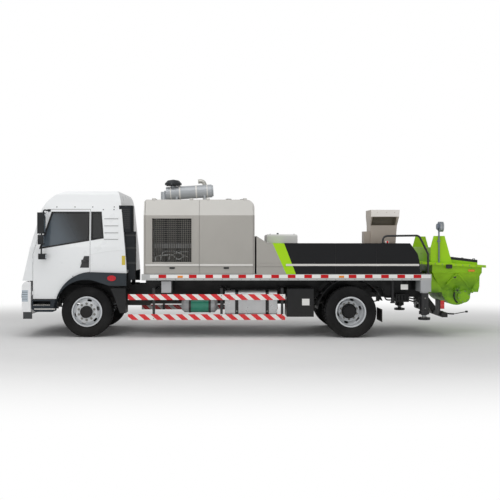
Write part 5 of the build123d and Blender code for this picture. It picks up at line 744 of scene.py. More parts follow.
# ---------------------------------------------------------------------------------------------
# Roof gear. A silver-grey air cleaner canister in straps with a ribbed black rain cap, a bent
# exhaust outlet of bare steel, two black filler caps and four lifting bolts.


def cleaner_paint(tree, coords):
    """Silver-grey canister, black plastic rain cap above it."""
    x, z = apart(tree, coords, "XZ")
    cap = all_of(tree, band(tree, x, -1.84, -1.48), calc(tree, "GREATER_THAN", z, 3.042))
    return laid_over(tree, coords, ("aeb2b6", 0.06, 2.0), ("24282b", 0.12, 6.0), cap)


cleaner_grey = finished("cleaner_grey", "aeb2b6", rough=0.32, metal=0.25, coat=0.2,
                        shade=cleaner_paint)
dress(cleaner_grey, "air_cleaner")
exhaust_steel = finished("exhaust_steel", "c9c8c2", rough=0.36, metal=0.55, peel=(60.0, 0.1),
                         spread=0.12)
dress(exhaust_steel, "exhaust_stack")
CLEANER_Y = -0.2
RAIN_CAP = (-1.660, CLEANER_Y)
RIB_CIRCLE = 0.1705
cleaner_end = Vector((along(1500), CLEANER_Y, 2.890))
cleaner_axis = Vector((along(2449), CLEANER_Y, 2.950)) - cleaner_end
tilt = Vector((0, 0, 1)).rotation_difference(cleaner_axis)
shape = bmesh.new()
for share, radius, length in ((0.10, 0.1375, 0.022), (0.30, 0.1385, 0.030),
                              (0.66, 0.1385, 0.030), (0.90, 0.1395, 0.020)):
    middle = cleaner_end + cleaner_axis * share
    bmesh.ops.create_cone(shape, cap_ends=True, segments=48, radius1=radius, radius2=radius,
                          depth=length, matrix=Matrix.LocRotScale(middle, tilt, None))
place_piece(shape, "cleaner_straps", "truck", trim_light)
shape = bmesh.new()
middle = cleaner_end + cleaner_axis * 1.004
for radius, depth in ((0.118, 0.010), (0.050, 0.018)):
    bmesh.ops.create_cone(shape, cap_ends=True, segments=40, radius1=radius, radius2=radius,
                          depth=depth, matrix=Matrix.LocRotScale(middle, tilt, None))
place_piece(shape, "cleaner_end_disc", "truck", cleaner_grey)
shape = bmesh.new()
for cosine, sine in ring(24):
    x, y = RAIN_CAP[0] + RIB_CIRCLE * cosine, RAIN_CAP[1] + RIB_CIRCLE * sine
    box_between(shape, (x - 0.004, y - 0.004, 3.070), (x + 0.004, y + 0.004, 3.112))
round_between(shape, (*RAIN_CAP, 3.052), "z", 0.006, 0.150, sides=40, edge=0.001)
place_piece(shape, "rain_cap_ribs", "truck", handle_black)
shape = bmesh.new()
for first, last, height in ((2741, 2857, 0.030), (3025, 3141, 0.022)):
    middle = ((along(first) + along(last)) / 2, -0.6, 2.722 + height + 0.003)
    round_between(shape, middle, "z", 0.010, (last - first) / 2000 + 0.002, sides=36,
                  edge=0.003)
    for cosine, sine in ring(3):
        bolt(shape, (middle[0] + 0.035 * cosine, middle[1] + 0.035 * sine,
                     middle[2] + 0.004), "z", 0.005, 0.004)
place_piece(shape, "roof_cap_lids", "truck", handle_black)
shape = bmesh.new()
for x in (-1.95, -0.25):
    for y in (-0.85, 0.85):
        round_between(shape, (x, y, 2.728), "z", 0.012, 0.020, sides=18, edge=0.002)
        bolt(shape, (x, y, 2.736), "z", 0.010, 0.006)
place_piece(shape, "lifting_bolts", "truck", nut_zinc)

# ---------------------------------------------------------------------------------------------
# Rear cover. Folded sheet over the pump: beige grey in front, then a slanted lime stripe, then
# black to the tail; the lid over the oil tank is light grey.
STRIPE_FRONT = (along(3663), 0.440)
STRIPE_BACK = (along(3888), 0.382)
COVER_TOP = 1.857
LID_FRONT = along(3570)
LID_TOP = 2.0405
LID_BOLT_X = (along(3650), along(4140))
HANDLE_X = (along(3820), along(3850))


def cover_paint(tree, coords):
    """Beige grey, lime stripe and black by two slanted lines; the lid above stays grey."""
    x, z = apart(tree, coords, "XZ")
    paint = ("a9a6a0", 0.035, 0.9)
    for (start, slope), over in ((STRIPE_FRONT, ("a8dc12", 0.04, 0.9)),
                                 (STRIPE_BACK, ("111215", 0.10, 0.9))):
        lean = calc(tree, "MULTIPLY_ADD", z, slope, -slope * COVER_TOP)
        behind = calc(tree, "GREATER_THAN", calc(tree, "ADD", x, lean), start)
        paint = laid_over(tree, coords, paint, over, behind)
    lid = all_of(tree, calc(tree, "GREATER_THAN", z, COVER_TOP + 0.004),
                 calc(tree, "GREATER_THAN", x, LID_FRONT))
    return laid_over(tree, coords, paint, ("e2e2e0", 0.03, 0.9), lid)


cover_finish = finished("cover_finish", "111215", rough=0.4, coat=0.08, peel=(220.0, 0.05),
                        shade=cover_paint, sheen=0.25)
dress(cover_finish, "rear_cover")
shape = bmesh.new()
for side in (-1, 1):
    box_between(shape, (along(3925), side * 1.2105, 1.412), (along(6536), side * 1.2155, 1.452),
                edge=0.002)
place_piece(shape, "cover_moulding", "truck", trim_light)
shape = bmesh.new()
for side in (-1, 1):
    for station in (4900, 5700):
        box_between(shape, (along(station) - 0.0015, side * 1.199, 1.262),
                    (along(station) + 0.0015, side * 1.2045 - 0.004 * (side > 0), 1.850))
for x in LID_BOLT_X:
    for y in (-0.50, 0.50):
        bolt(shape, (x, y, 2.042), "z", 0.010, 0.006)
place_piece(shape, "cover_joints", "truck", handle_black)
shape = bmesh.new()
for y in (-0.10, 0.09):
    box_between(shape, (HANDLE_X[0], y, LID_TOP), (HANDLE_X[1], y + 0.01, 2.068), edge=0.003)
box_between(shape, (HANDLE_X[0], -0.10, 2.062), (HANDLE_X[1], 0.10, 2.072), edge=0.003)
place_piece(shape, "lid_handle", "truck", handle_black)

# ---------------------------------------------------------------------------------------------
# Cooler cowl. Beige sheet steel housing of the oil cooler with a visor over its mouth; the fins
# of the cooler show inside, and louvres let the air out at the back.


def cowl_beige(tree, coords):
    """Warm beige lightening upwards as painted light, a painted highlight on the visor's front and
    painted shade in the mouth under it.
    """
    x, y, z = apart(tree, coords, "XYZ")
    # painted light: the beige grows lighter from Z 1.9 up to 2.5
    paint = laid_over(tree, coords, ("aba094", 0.04, 1.2), ("b9b0a4", 0.04, 1.2),
                      ranged(tree, z, 1.9, 2.5))
    # painted highlight on the visor's front face
    lit_visor_front = all_of(tree, band(tree, y, -0.952, -0.949), band(tree, z, 2.386, 2.53))
    paint = laid_over(tree, coords, paint, ("e4e0da", 0.03, 1.2), lit_visor_front)
    # painted shade in the mouth under the visor
    shaded_mouth = all_of(tree, band(tree, y, -0.936, -0.598), band(tree, z, 2.2195, 2.512),
                   band(tree, x, along(5665), along(6156)))
    return laid_over(tree, coords, paint, ("938a76", 0.08, 3.0), shaded_mouth)


cowl_finish = finished("cowl_finish", "c3b8a4", rough=0.4, coat=0.12, shade=cowl_beige)
dress(cowl_finish, "cooler_cowl")


def cowl_back(z):
    """How far back the cowl's leaning rear wall stands at a height."""
    return along(6160 + 52 * (z - 1.857) / 0.667)


shape = bmesh.new()
for count in range(6):
    share = 0.10 + 0.155 * count
    y, z = -0.785 - 0.135 * share, 2.225 + 0.165 * share
    box_between(shape, (along(5674), y, z), (along(6147), y + 0.050, z + 0.005))
slat_brown = finished("slat_brown", "7b725f", rough=0.5, spread=0.08)
place_piece(shape, "cooler_slats", "truck", slat_brown)
shape = bmesh.new()
for count in range(7):
    z = 1.98 + count * 0.062
    box_between(shape, (cowl_back(z) - 0.004, -0.76, z), (cowl_back(z) + 0.0055, -0.40,
                                                          z + 0.036), edge=0.0015)
for z in (1.90, 2.48):
    for y in (-0.77, -0.38):
        round_between(shape, (cowl_back(z) + 0.001, y, z), "x", 0.008, 0.009, sides=12)
for x in (along(5760), along(5950), along(6110)):
    for y, z in ((-0.801, 1.885), (-0.951, 2.470)):
        round_between(shape, (x, y, z), "y", 0.004, 0.008, sides=12)
place_piece(shape, "cowl_louvres", "truck", cowl_finish)

# ---------------------------------------------------------------------------------------------
# Handrail and stop button. Black powder-coated tube, with a red emergency stop on a small
# white box at its foot.
rail_black = finished("rail_black", "1e1f21", rough=0.36, coat=0.25, spread=0.12)
dress(rail_black, "handrail")
shape = bmesh.new()
for x in (along(6712), along(6754)):
    for y in (-1.165, -1.105):
        bolt(shape, (x, y, 1.264), "z", 0.008, 0.006)
for angle in (0.8, 2.4, 3.9, 5.5):
    bolt(shape, (along(5840) + 0.031 * math.cos(angle), -1.12 + 0.031 * math.sin(angle), 1.867),
         "z", 0.0045, 0.004)
place_piece(shape, "rail_foot_bolts", "truck", nut_zinc)
shape = bmesh.new()
box_between(shape, (along(5885), -1.158, 1.8572), (along(5955), -1.088, 1.905), edge=0.005,
            segments=2)
place_piece(shape, "stop_button_box", "truck", plate_white)
shape = bmesh.new()
round_between(shape, (along(5920), -1.161, 1.882), "y", 0.018, 0.012, sides=20)
round_between(shape, (along(5920), -1.172, 1.882), "y", 0.014, 0.021, sides=28, edge=0.004)
place_piece(shape, "stop_button", "truck", tape_red)

# ---------------------------------------------------------------------------------------------
# Hopper. Welded plate in lime enamel: flanged rim, sloping tub and trough with stiffening
# ribs. A black rubber clamp, a hose and an amber reflector are fixed to each side.
TROUGH = Vector((along(7440), 0.0, 0.900))
DRAIN = (4.285, 0.775)
PORT = (4.059, 1.178)
RIB_FACES = (0.650, 0.664)
RIM_FRONT, RIM_REAR = (3.325, 1.491), (4.663, 1.415)


def lime_shades(tree, coords):
    """Lime enamel with painted light and shade: lighter towards the top on the rim and guard,
    patches of painted shade in deep green on the tub.
    """
    # painted shade: noise patches of deep green on the tub; painted light: lime grows lighter
    # upwards from Z 0.75 to 1.45
    painted_shade_patches = ranged(tree, noise(tree, coords, 2.6, 5.0, 0.62), 0.42, 0.62)
    deep = laid_over(tree, coords, ("427d1c", 0.12, 3.0), ("8cc41c", 0.06, 3.0), painted_shade_patches)
    return laid_over(tree, coords, deep, ("a5da14", 0.05, 1.2),
                     ranged(tree, apart(tree, coords, "Z"), 0.75, 1.45))


hopper_lime = finished("hopper_lime", "a5da14", rough=0.42, coat=0.08, peel=(150.0, 0.08),
                       shade=lime_shades, sheen=0.3)
dress(hopper_lime, "hopper", "outlet_pipe")


def tub_side(z):
    """Half width of the tub's sloping side wall at a height."""
    return 0.600 + (z - TROUGH.z) * 0.190 / 0.370


shape = bmesh.new()
for side in (-1, 1):
    for foot, head in (((3.90, 1.00), (4.10, 1.255)), ((4.36, 1.00), (4.12, 1.255))):
        ends = [Vector((x, side * (tub_side(z) + 0.010), z)) for x, z in (foot, head)]
        run = ends[1] - ends[0]
        turn = Vector((0, 0, 1)).rotation_difference(run)
        bmesh.ops.create_cube(shape, size=1.0, matrix=Matrix.LocRotScale(
            (ends[0] + ends[1]) / 2, turn, Vector((0.034, 0.030, run.length))))
    box_between(shape, (3.600, side * 0.788, 1.258), (4.594, side * 0.806, 1.272), edge=0.002)
    round_between(shape, (DRAIN[0], side * 0.606, DRAIN[1]), "y", 0.030, 0.130, sides=56,
                  edge=0.004)
    round_between(shape, (PORT[0], side * tub_side(PORT[1]), PORT[1]), "y", 0.050, 0.046, sides=28)
    for corners in (((3.600, 1.268), (3.606, 0.866), (3.845, 0.866), (3.837, 0.905)),
                    ((4.594, 1.268), (4.588, 0.985), (4.560, 0.866), (4.430, 0.866),
                     (4.437, 0.905))):
        near, far = [[shape.verts.new((x, side * y, z)) for x, z in corners]
                     for y in RIB_FACES]
        shape.faces.new(near)
        shape.faces.new(far)
        for index in range(len(corners)):
            shape.faces.new((near[index - 1], near[index], far[index], far[index - 1]))
place_piece(shape, "tub_ribs", "truck", hopper_lime)
rim_slope = (RIM_REAR[1] - RIM_FRONT[1]) / (RIM_REAR[0] - RIM_FRONT[0])
shape = bmesh.new()
for side in (-1, 1):
    for count in range(10):
        x = 3.372 + count * 0.137
        z = RIM_FRONT[1] + (x - RIM_FRONT[0]) * rim_slope - 0.026
        round_between(shape, (x, side * 0.8515, z), "y", 0.009, 0.010, sides=6)
    for cosine, sine in ring(6, math.degrees(0.3)):
        round_between(shape, (DRAIN[0] + 0.108 * cosine, side * 0.622, DRAIN[1] + 0.108 * sine),
                      "y", 0.012, 0.011, sides=6)
for z in (1.50, 1.64, 1.75):
    for y in (-0.70, 0.0, 0.70):
        round_between(shape, (3.5655, y, z), "x", 0.008, 0.010, sides=6)
for cosine, sine in ring(6):
    round_between(shape, (4.5285, 0.106 * cosine, 0.910 + 0.106 * sine), "x", 0.012, 0.008,
                  sides=6)
place_piece(shape, "hopper_bolts", "truck", nut_zinc)
shape = bmesh.new()
for side in (-1, 1):
    box_between(shape, (along(7157), side * 0.8495, 1.350), (along(7280), side * 0.874, 1.430),
                edge=0.006, segments=2)
    arc = [Vector((4.262 + 0.176 * math.cos(angle), side * 0.612,
                   0.792 + 0.176 * math.sin(angle)))
           for angle in (math.radians(a) for a in range(70, 236, 15))]
    piped(shape, arc, 0.015, 14)
    round_between(shape, (PORT[0], side * tub_side(PORT[1]), PORT[1]), "y", 0.060, 0.030, sides=28,
                  edge=0.003)
place_piece(shape, "hopper_rubber", "truck", handle_black)
shape = bmesh.new()
for side in (-1, 1):
    box_between(shape, (along(7626), side * 0.7895, 1.284), (along(7753), side * 0.798, 1.330),
                edge=0.003)
place_piece(shape, "hopper_reflectors", "truck", amber_lens)

# ---------------------------------------------------------------------------------------------
# Grate and agitators. Flat bars welded into a frame that tilts on its front shaft, over two
# paddle shafts of worn steel in bearings bolted to the trough's ends.
grate_black = finished("grate_black", "202225", rough=0.42, metal=0.15, spread=0.2,
                       peel=(90.0, 0.15))
dress(grate_black, "hopper_grate")


def paddle_shades(tree, coords):
    """Worn steel inside the tub, lime enamel on the bearing flange outside."""
    out = calc(tree, "GREATER_THAN", calc(tree, "ABSOLUTE", apart(tree, coords, "Y")), 0.645)
    return laid_over(tree, coords, ("75716a", 0.25, 6.0), ("6aa01c", 0.08, 3.0), out)


paddle_steel = finished("paddle_steel", "75716a", rough=0.5, metal=0.2, peel=(60.0, 0.3),
                        shade=paddle_shades)
dress(paddle_steel, "agitator_left", "agitator_right")
shape = bmesh.new()
for x in (3.80, 4.02, 4.24, 4.44):
    round_between(shape, (x, 0, 1.600 + (x - 3.635) * -0.118), "y", 1.220, 0.007, sides=12)
for y in (-0.40, 0.40):
    piped(shape, [(4.546, y - 0.06, 1.505), (4.556, y - 0.06, 1.540), (4.556, y + 0.06, 1.540),
                  (4.546, y + 0.06, 1.505)], 0.007, 10)
place_piece(shape, "grate_cross_bars", "hopper_grate", grate_black)
for side, body in ((-1, "agitator_left"), (1, "agitator_right")):
    shape = bmesh.new()
    for cosine, sine in ring(6):
        round_between(shape, (TROUGH.x + 0.044 * cosine, side * 0.683,
                              TROUGH.z + 0.044 * sine), "y", 0.010, 0.008, sides=6)
    round_between(shape, (TROUGH.x, side * 0.683, TROUGH.z), "y", 0.012, 0.022, sides=24,
                  edge=0.002)
    place_piece(shape, body + "_screws", body, handle_black)

# ---------------------------------------------------------------------------------------------
# Work lamp. Round floodlight in a blue-grey die-cast shell with a chromed bezel and a glass
# lens, on a grey tube pole clamped to the splash guard.
LAMP_X, LAMP_Y, LAMP_Z = along(7060), -0.810, 2.190
SHELL_RINGS = (-0.030, -0.012, 0.006, 0.024)
CLAMP_LEVELS = (1.880, 1.914)
lamp_shell = finished("lamp_shell", "7f8996", rough=0.35, metal=0.45, spread=0.1)
dress(lamp_shell, "work_lamp")
shape = bmesh.new()
round_between(shape, (LAMP_X + 0.0425, LAMP_Y, LAMP_Z), "x", 0.016, 0.1035, sides=48,
              edge=0.002)
for x in SHELL_RINGS:
    round_between(shape, (LAMP_X + x, LAMP_Y, LAMP_Z), "x", 0.006, 0.1030, sides=48)
for z in CLAMP_LEVELS:
    box_between(shape, (LAMP_X - 0.052, -0.832, z), (LAMP_X - 0.008, -0.776, z + 0.006),
                edge=0.001)
piped(shape, [(LAMP_X - 0.003, LAMP_Y - 0.097, LAMP_Z - 0.06),
              (LAMP_X - 0.003, LAMP_Y - 0.0995, LAMP_Z),
              (LAMP_X - 0.003, LAMP_Y - 0.097, LAMP_Z + 0.06)], 0.006, 10)
place_piece(shape, "lamp_bezel", "truck", pipe_bright)
lens_glass = finished("lens_glass", "dfe6ea", rough=0.06, coat=1.0, peel=(30.0, 0.5),
                      spread=0.12)
shape = bmesh.new()
round_between(shape, (LAMP_X + 0.048, LAMP_Y, LAMP_Z), "x", 0.010, 0.096, 0.084, sides=48,
              edge=0.002)
place_piece(shape, "work_lamp_lens", "truck", lens_glass)

# ---------------------------------------------------------------------------------------------
# Outriggers. Light grey welded box arms under the deck carry black sleeves; the legs slide in
# them, with a ground steel rod above a round foot plate held by four bolts.
ARM = (along(6555), along(6775))
LEG = (along(6655), 1.12)


def arm_shades(tree, coords):
    """Light grey on the box arms, black on the sleeves and behind the chassis rails."""
    y, z = apart(tree, coords, "YZ")
    mask = all_of(tree, calc(tree, "GREATER_THAN", z, 0.879),
                  calc(tree, "GREATER_THAN", calc(tree, "ABSOLUTE", y), 0.80))
    return laid_over(tree, coords, ("1b1c1e", 0.2, 4.0), ("b4b6b8", 0.06, 2.5), mask)


def leg_shades(tree, coords):
    """Ground steel rod between the black leg tube and the black foot."""
    return laid_over(tree, coords, ("1d1e20", 0.2, 5.0), ("b9bcbf", 0.08, 9.0),
                     band(tree, apart(tree, coords, "Z"), 0.3965, 0.4440))


arm_paint = finished("arm_paint", "b4b6b8", rough=0.42, coat=0.12, shade=arm_shades)
dress(arm_paint, "outrigger_beams")
leg_finish = finished("leg_finish", "1d1e20", rough=0.38, metal=0.2, shade=leg_shades)
dress(leg_finish, "outrigger_leg_left", "outrigger_leg_right")
shape = bmesh.new()
for side in (-1, 1):
    for x in (ARM[0] + 0.016, ARM[1] - 0.026):
        box_between(shape, (x, side * 1.2195, 0.915), (x + 0.010, side * 1.2225, 1.118))
    box_between(shape, (ARM[0] + 0.060, side * 1.2195, 0.96),
                (ARM[1] - 0.060, side * 1.2225, 1.075), edge=0.001)
place_piece(shape, "arm_end_welds", "truck", arm_paint)
shape = bmesh.new()
for side in (-1, 1):
    face = side * 1.2075
    round_between(shape, (LEG[0], face, 0.780), "y", 0.014, 0.016, sides=6)
    round_between(shape, (LEG[0], face, 0.580), "y", 0.014, 0.010, sides=12)
    for cosine, sine in ring(4, 45.0):
        round_between(shape, (LEG[0] + 0.0925 * cosine, side * LEG[1] + 0.0925 * sine, 0.526),
                      "z", 0.010, 0.006, sides=6)
place_piece(shape, "sleeve_bolts", "truck", nut_zinc)
for side, body in ((-1, "outrigger_leg_left"), (1, "outrigger_leg_right")):
    shape = bmesh.new()
    for cosine, sine in ring(4, 45.0):
        round_between(shape, (LEG[0] + 0.085 * cosine, side * LEG[1] + 0.085 * sine, 0.398),
                      "z", 0.012, 0.011, sides=6)
    round_between(shape, (LEG[0], side * LEG[1], 0.402), "z", 0.016, 0.056, 0.046, sides=36)
    place_piece(shape, body + "_foot_bolts", body, nut_zinc)

# ---------------------------------------------------------------------------------------------
# Rear end. Black under-run bar with red and white tape and tail lamps on brackets, rubber mud
# flaps, a hydraulic valve block with steel pipes, a drain lever and a blank plate.


def rear_tape(tree, coords):
    """Red and white blocks of reflective tape across the bar."""
    share = calc(tree, "FRACT", calc(tree, "DIVIDE", apart(tree, coords, "Y"), 0.30))
    return laid_over(tree, coords, ("e6e7e6", 0.03, 8.0), ("cc1f24", 0.05, 8.0),
                     calc(tree, "GREATER_THAN", share, 0.5))


def tail_lens_shades(tree, coords):
    """Amber outer chamber, red middle, clear reversing lamp inside."""
    out = calc(tree, "ABSOLUTE", apart(tree, coords, "Y"))
    ribs = node(tree, "ShaderNodeTexWave", {"Vector": coords, "Scale": 26.0},
                bands_direction="Z")
    lens = laid_over(tree, coords, swatch("c8141a"), swatch("e0302c"), ribs.outputs["Fac"])
    lens = laid_over(tree, coords, lens, swatch("e78a1c"), band(tree, out, 0.985, 1.079))
    return laid_over(tree, coords, lens, swatch("e3e5e6"), band(tree, out, 0.791, 0.865))


ROD = (2.733, 1.10)
DRAIN_Y = -0.70
PLATE_STATIONS = (6186, 6330)
bar_tape = finished("bar_tape", "e6e7e6", rough=0.25, coat=0.5, shade=rear_tape)
tail_lens = finished("tail_lens", "c8141a", rough=0.12, coat=0.8, shade=tail_lens_shades)
shape = bmesh.new()
box_between(shape, (along(7109.5), -1.14, 0.420), (along(7112), 1.14, 0.470))
place_piece(shape, "under_run_tape", "truck", bar_tape)
shape = bmesh.new()
for side in (-1, 1):
    box_between(shape, (along(6983.5), side * 0.7885, 0.5595),
                (along(7067.5), side * 1.0815, 0.7215), edge=0.006, segments=2)
place_piece(shape, "tail_lamp_lenses", "truck", tail_lens)
flap_rubber = finished("flap_rubber", "1c1c1d", rough=0.7, spread=0.2, peel=(120.0, 0.2),
                       dust=(0.7, 0.35))
shape = bmesh.new()
for side in (-1, 1):
    box_between(shape, (2.505, side * 0.640, 0.310), (2.513, side * 1.200, 0.560), edge=0.002)
    for y in (0.690, 0.920, 1.150):
        round_between(shape, (2.514, side * y, 0.525), "x", 0.008, 0.010, sides=6)
place_piece(shape, "rear_mud_flaps", "truck", flap_rubber)
shape = bmesh.new()
box_between(shape, (2.880, -0.700, 0.665), (3.150, -0.425, 0.830), edge=0.006)
for count in range(4):
    x = 2.92 + count * 0.062
    box_between(shape, (x, -0.735, 0.690), (x + 0.040, -0.695, 0.800), edge=0.004)
    round_between(shape, (x + 0.020, -0.742, 0.715), "y", 0.030, 0.015, sides=6)
for y, z in ((-0.60, 0.70), (-0.52, 0.75)):
    for run in ([(2.89, y, z), (2.70, y, z), (2.62, y, 0.93), (2.30, y, 0.97)],
                [(3.14, y, z), (3.30, y, z - 0.04), (3.50, y, 0.90), (3.62, y, 1.02)]):
        piped(shape, bent(run, 0.05), 0.014, 12)
for side in (-1, 1):
    piped(shape, [(ROD[0], side * ROD[1], 1.140), (ROD[0], side * ROD[1], 0.700)], 0.032, 18)
    round_between(shape, (ROD[0], side * ROD[1], 0.690), "z", 0.030, 0.044, sides=24, edge=0.004)
place_piece(shape, "hydraulic_valves", "truck", chassis_black)
shape = bmesh.new()
box_between(shape, (3.795, DRAIN_Y - 0.03, 0.405), (3.835, DRAIN_Y + 0.03, 0.487), edge=0.004)
piped(shape, bent([(3.815, DRAIN_Y, 0.455), (3.95, DRAIN_Y, 0.430), (4.06, DRAIN_Y, 0.425)],
                  0.03, 3), 0.016, 14)
piped(shape, [(4.055, DRAIN_Y, 0.425), (4.335, DRAIN_Y, 0.476)], 0.008, 12)
round_between(shape, (4.315, DRAIN_Y, 0.4725), "x", 0.050, 0.020, sides=20, edge=0.005)
place_piece(shape, "drain_lever", "truck", handle_black)
shape = bmesh.new()
for x in (along(6200), along(6316)):
    box_between(shape, (x - 0.008, -1.152, 0.950), (x + 0.008, -1.146, 1.142))
place_piece(shape, "rear_plate_carrier", "truck", chassis_black)
shape = bmesh.new()
box_between(shape, (along(PLATE_STATIONS[0]), -1.156, 0.945),
            (along(PLATE_STATIONS[1]), -1.152, 1.047), edge=0.001)
place_piece(shape, "rear_blank_plate", "truck", plate_white)

# ---------------------------------------------------------------------------------------------
# Front bumper, headlamps and steps. White painted pressing over a black moulded lip, clear
# lamp units in its corners, and moulded entry steps with aluminium treads.
BOW_CENTRE_X = 2.269
BOW_R = 6.932
CAB_LEVELS = [
    # height, front middle, front corner, half width, rear wall
    (1.120, -4.643, -4.553, 1.180, -2.497), (1.780, -4.508, -4.403, 1.180, -2.543),
    (2.526, -4.288, -4.188, 1.130, -2.613), (2.676, -4.173, -4.091, 1.110, -2.628),
    (2.820, -3.993, -3.923, 1.070, -2.663), (2.890, -3.783, -3.733, 1.000, -2.703),
]


def cab_level(z):
    """Front middle, front corner, half width and rear wall of the cab at a height."""
    for low, high in zip(CAB_LEVELS, CAB_LEVELS[1:]):
        if z <= high[0]:
            break
    share = min(max((z - low[0]) / (high[0] - low[0]), 0.0), 1.0)
    return [a + (b - a) * share for a, b in zip(low[1:], high[1:])]


def cab_front(y, z, lift=0.0):
    """Point on the cab's bowed front, moved outwards by lift."""
    middle, corner, half, _ = cab_level(z)
    return Vector((middle + (corner - middle) * (y / half) ** 2 - lift, y, z))


def cab_left(x, z, lift=0.0):
    """Point on the cab's left side wall, moved outwards by lift."""
    return Vector((x, -cab_level(z)[2] - lift, z))


def cab_right(x, z, lift=0.0):
    """Point on the cab's right side wall, moved outwards by lift."""
    return Vector((x, cab_level(z)[2] + lift, z))


def bumper_front(y, z, lift=0.0):
    """Point on the front bumper's bow, moved outwards by lift."""
    return Vector((BOW_CENTRE_X - math.sqrt(BOW_R ** 2 - y * y) - lift, y, z))


def grown(outline, by):
    """Outline of (u, v) corners with every edge moved outwards by a distance."""
    centre = sum((Vector(p) for p in outline), Vector((0, 0))) / len(outline)
    corners = []
    for index, here in enumerate(outline):
        here = Vector(here)
        before = (here - Vector(outline[index - 1])).normalized()
        after = (Vector(outline[(index + 1) % len(outline)]) - here).normalized()
        normals = [Vector((d.y, -d.x)) for d in (before, after)]
        normals = [n if n.dot(here - centre) > 0 else -n for n in normals]
        middle = (normals[0] + normals[1]).normalized()
        corners.append(here + middle * by / max(middle.dot(normals[0]), 0.3))
    return corners


def laid_ring(shape, outline, inner, outer, place, low, high, steps=6):
    """Closed band round an outline on a curved wall, from lift low to lift high."""
    rows = []
    for by, lift in ((inner, high), (outer, high), (outer, low), (inner, low)):
        corners, row = grown(outline, by), []
        for index, here in enumerate(corners):
            there = corners[(index + 1) % len(corners)]
            for step in range(steps):
                spot = here.lerp(there, step / steps)
                row.append(shape.verts.new(place(spot.x, spot.y, lift)))
        rows.append(row)
    count = len(rows[0])
    for a, b in zip(rows, rows[1:] + rows[:1]):
        for index in range(count):
            after = (index + 1) % count
            shape.faces.new((a[index], a[after], b[after], b[index]))


def laid_panel(shape, u0, u1, v0, v1, place, low, high, steps=12):
    """Closed panel on a curved wall, between two coordinates each way and two lifts."""
    rows = [[shape.verts.new(place(u0 + (u1 - u0) * s / steps, v, lift))
             for s in range(steps + 1)]
            for v, lift in ((v0, low), (v1, low), (v1, high), (v0, high))]
    for a, b in zip(rows, rows[1:] + rows[:1]):
        for s in range(steps):
            shape.faces.new((a[s], a[s + 1], b[s + 1], b[s]))
    shape.faces.new([row[0] for row in rows])
    shape.faces.new([row[-1] for row in reversed(rows)])


def bumper_shades(tree, coords):
    """White paint above a black moulded lip."""
    return laid_over(tree, coords, ("e9eaeb", 0.02, 1.0), ("26292c", 0.12, 4.0),
                     band(tree, apart(tree, coords, "Z"), 0.30, 0.5125))


bumper_paint = finished("bumper_paint", "e9eaeb", rough=0.28, coat=0.4, shade=bumper_shades)
dress(bumper_paint, "front_bumper")
trim_grey = finished("trim_grey", "272d33", rough=0.6, peel=(420.0, 0.2), spread=0.08,
                     sheen=0.3)
dress(trim_grey, "step_boxes")
lamp_clear = finished("lamp_clear", "aebac4", rough=0.08, coat=1.0, peel=(40.0, 0.3),
                      spread=0.15)
dress(lamp_clear, "headlamps")
shape = bmesh.new()
laid_panel(shape, -0.56, 0.56, 0.585, 0.680, bumper_front, -0.020, 0.0)
laid_panel(shape, -0.74, 0.74, 0.985, 1.005, bumper_front, -0.020, 0.0)
for side in (-1, 1):
    laid_panel(shape, side * 0.70, side * 1.02, 0.555, 0.680, bumper_front, -0.020, 0.0015)
    for z in (0.760, 0.805, 0.850, 0.895):
        box_between(shape, (-4.550, side * 1.2295, z), (-4.442, side * 1.232, z + 0.007))
place_piece(shape, "bumper_grilles", "truck", handle_black)
HEADLIGHTS = [
    # Y, Z, radius of the bezel, radius of the lens
    (0.965, 0.828, 0.064, 0.054), (1.115, 0.828, 0.064, 0.054), (0.86, 0.618, 0.042, 0.034),
]
rings, lenses = bmesh.new(), bmesh.new()
for side in (-1, 1):
    for y, z, outer, inner in HEADLIGHTS:
        for part, radius, lift, depth, ease in ((rings, outer, 0.004, 0.024, 0.003),
                                                (lenses, inner, 0.008, 0.016, 0.004)):
            x = bumper_front(y, z, lift).x + depth / 2
            round_between(part, (x, side * y, z), "x", depth, radius, sides=40, edge=ease)
place_piece(rings, "lamp_rings", "truck", pipe_bright)
place_piece(lenses, "lamp_projectors", "truck", lens_glass)
shape = bmesh.new()
box_between(shape, (-4.6465, -0.220, 0.395), (-4.6405, 0.220, 0.500), edge=0.002)
place_piece(shape, "front_blank_plate", "truck", plate_white)
shape = bmesh.new()
for side in (-1, 1):
    box_between(shape, (along(-1008), side * 1.2295, 0.560), (along(-600), side * 1.2335, 0.578),
                edge=0.001)
    box_between(shape, (along(-1030), side * 0.960, 0.6425), (along(-700), side * 1.226, 0.648))
    for count in range(9):
        x = along(-1020) + count * 0.038
        box_between(shape, (x, side * 0.960, 0.647), (x + 0.010, side * 1.226, 0.653))
place_piece(shape, "step_treads", "truck", trim_light)

# ---------------------------------------------------------------------------------------------
# Cab shell and doors. Spot-welded steel in white enamel with a grey lining inside; rain
# channels over the doors, a pressed crease, slats, and black handles, locks and gap seals.


def cab_shades(tree, coords):
    """White enamel outside, grey lining on the walls inside."""
    x, y, z = apart(tree, coords, "XYZ")
    out = calc(tree, "ABSOLUTE", y)
    half = ranged(tree, z, 1.780, 2.526, 1.155, 1.105)
    back = ranged(tree, z, 1.120, 2.640, -2.522, -2.650)
    room = all_of(tree, band(tree, x, -4.10, -2.40), band(tree, z, 1.10, 2.62),
                  calc(tree, "LESS_THAN", out, half), calc(tree, "LESS_THAN", x, back))
    loft = all_of(tree, band(tree, x, -3.75, -2.76), band(tree, z, 2.60, 2.862),
                  calc(tree, "LESS_THAN", out, 0.985))
    return laid_over(tree, coords, ("e9ebec", 0.006, 0.8), ("6f7377", 0.08, 8.0),
                     calc(tree, "MAXIMUM", room, loft))


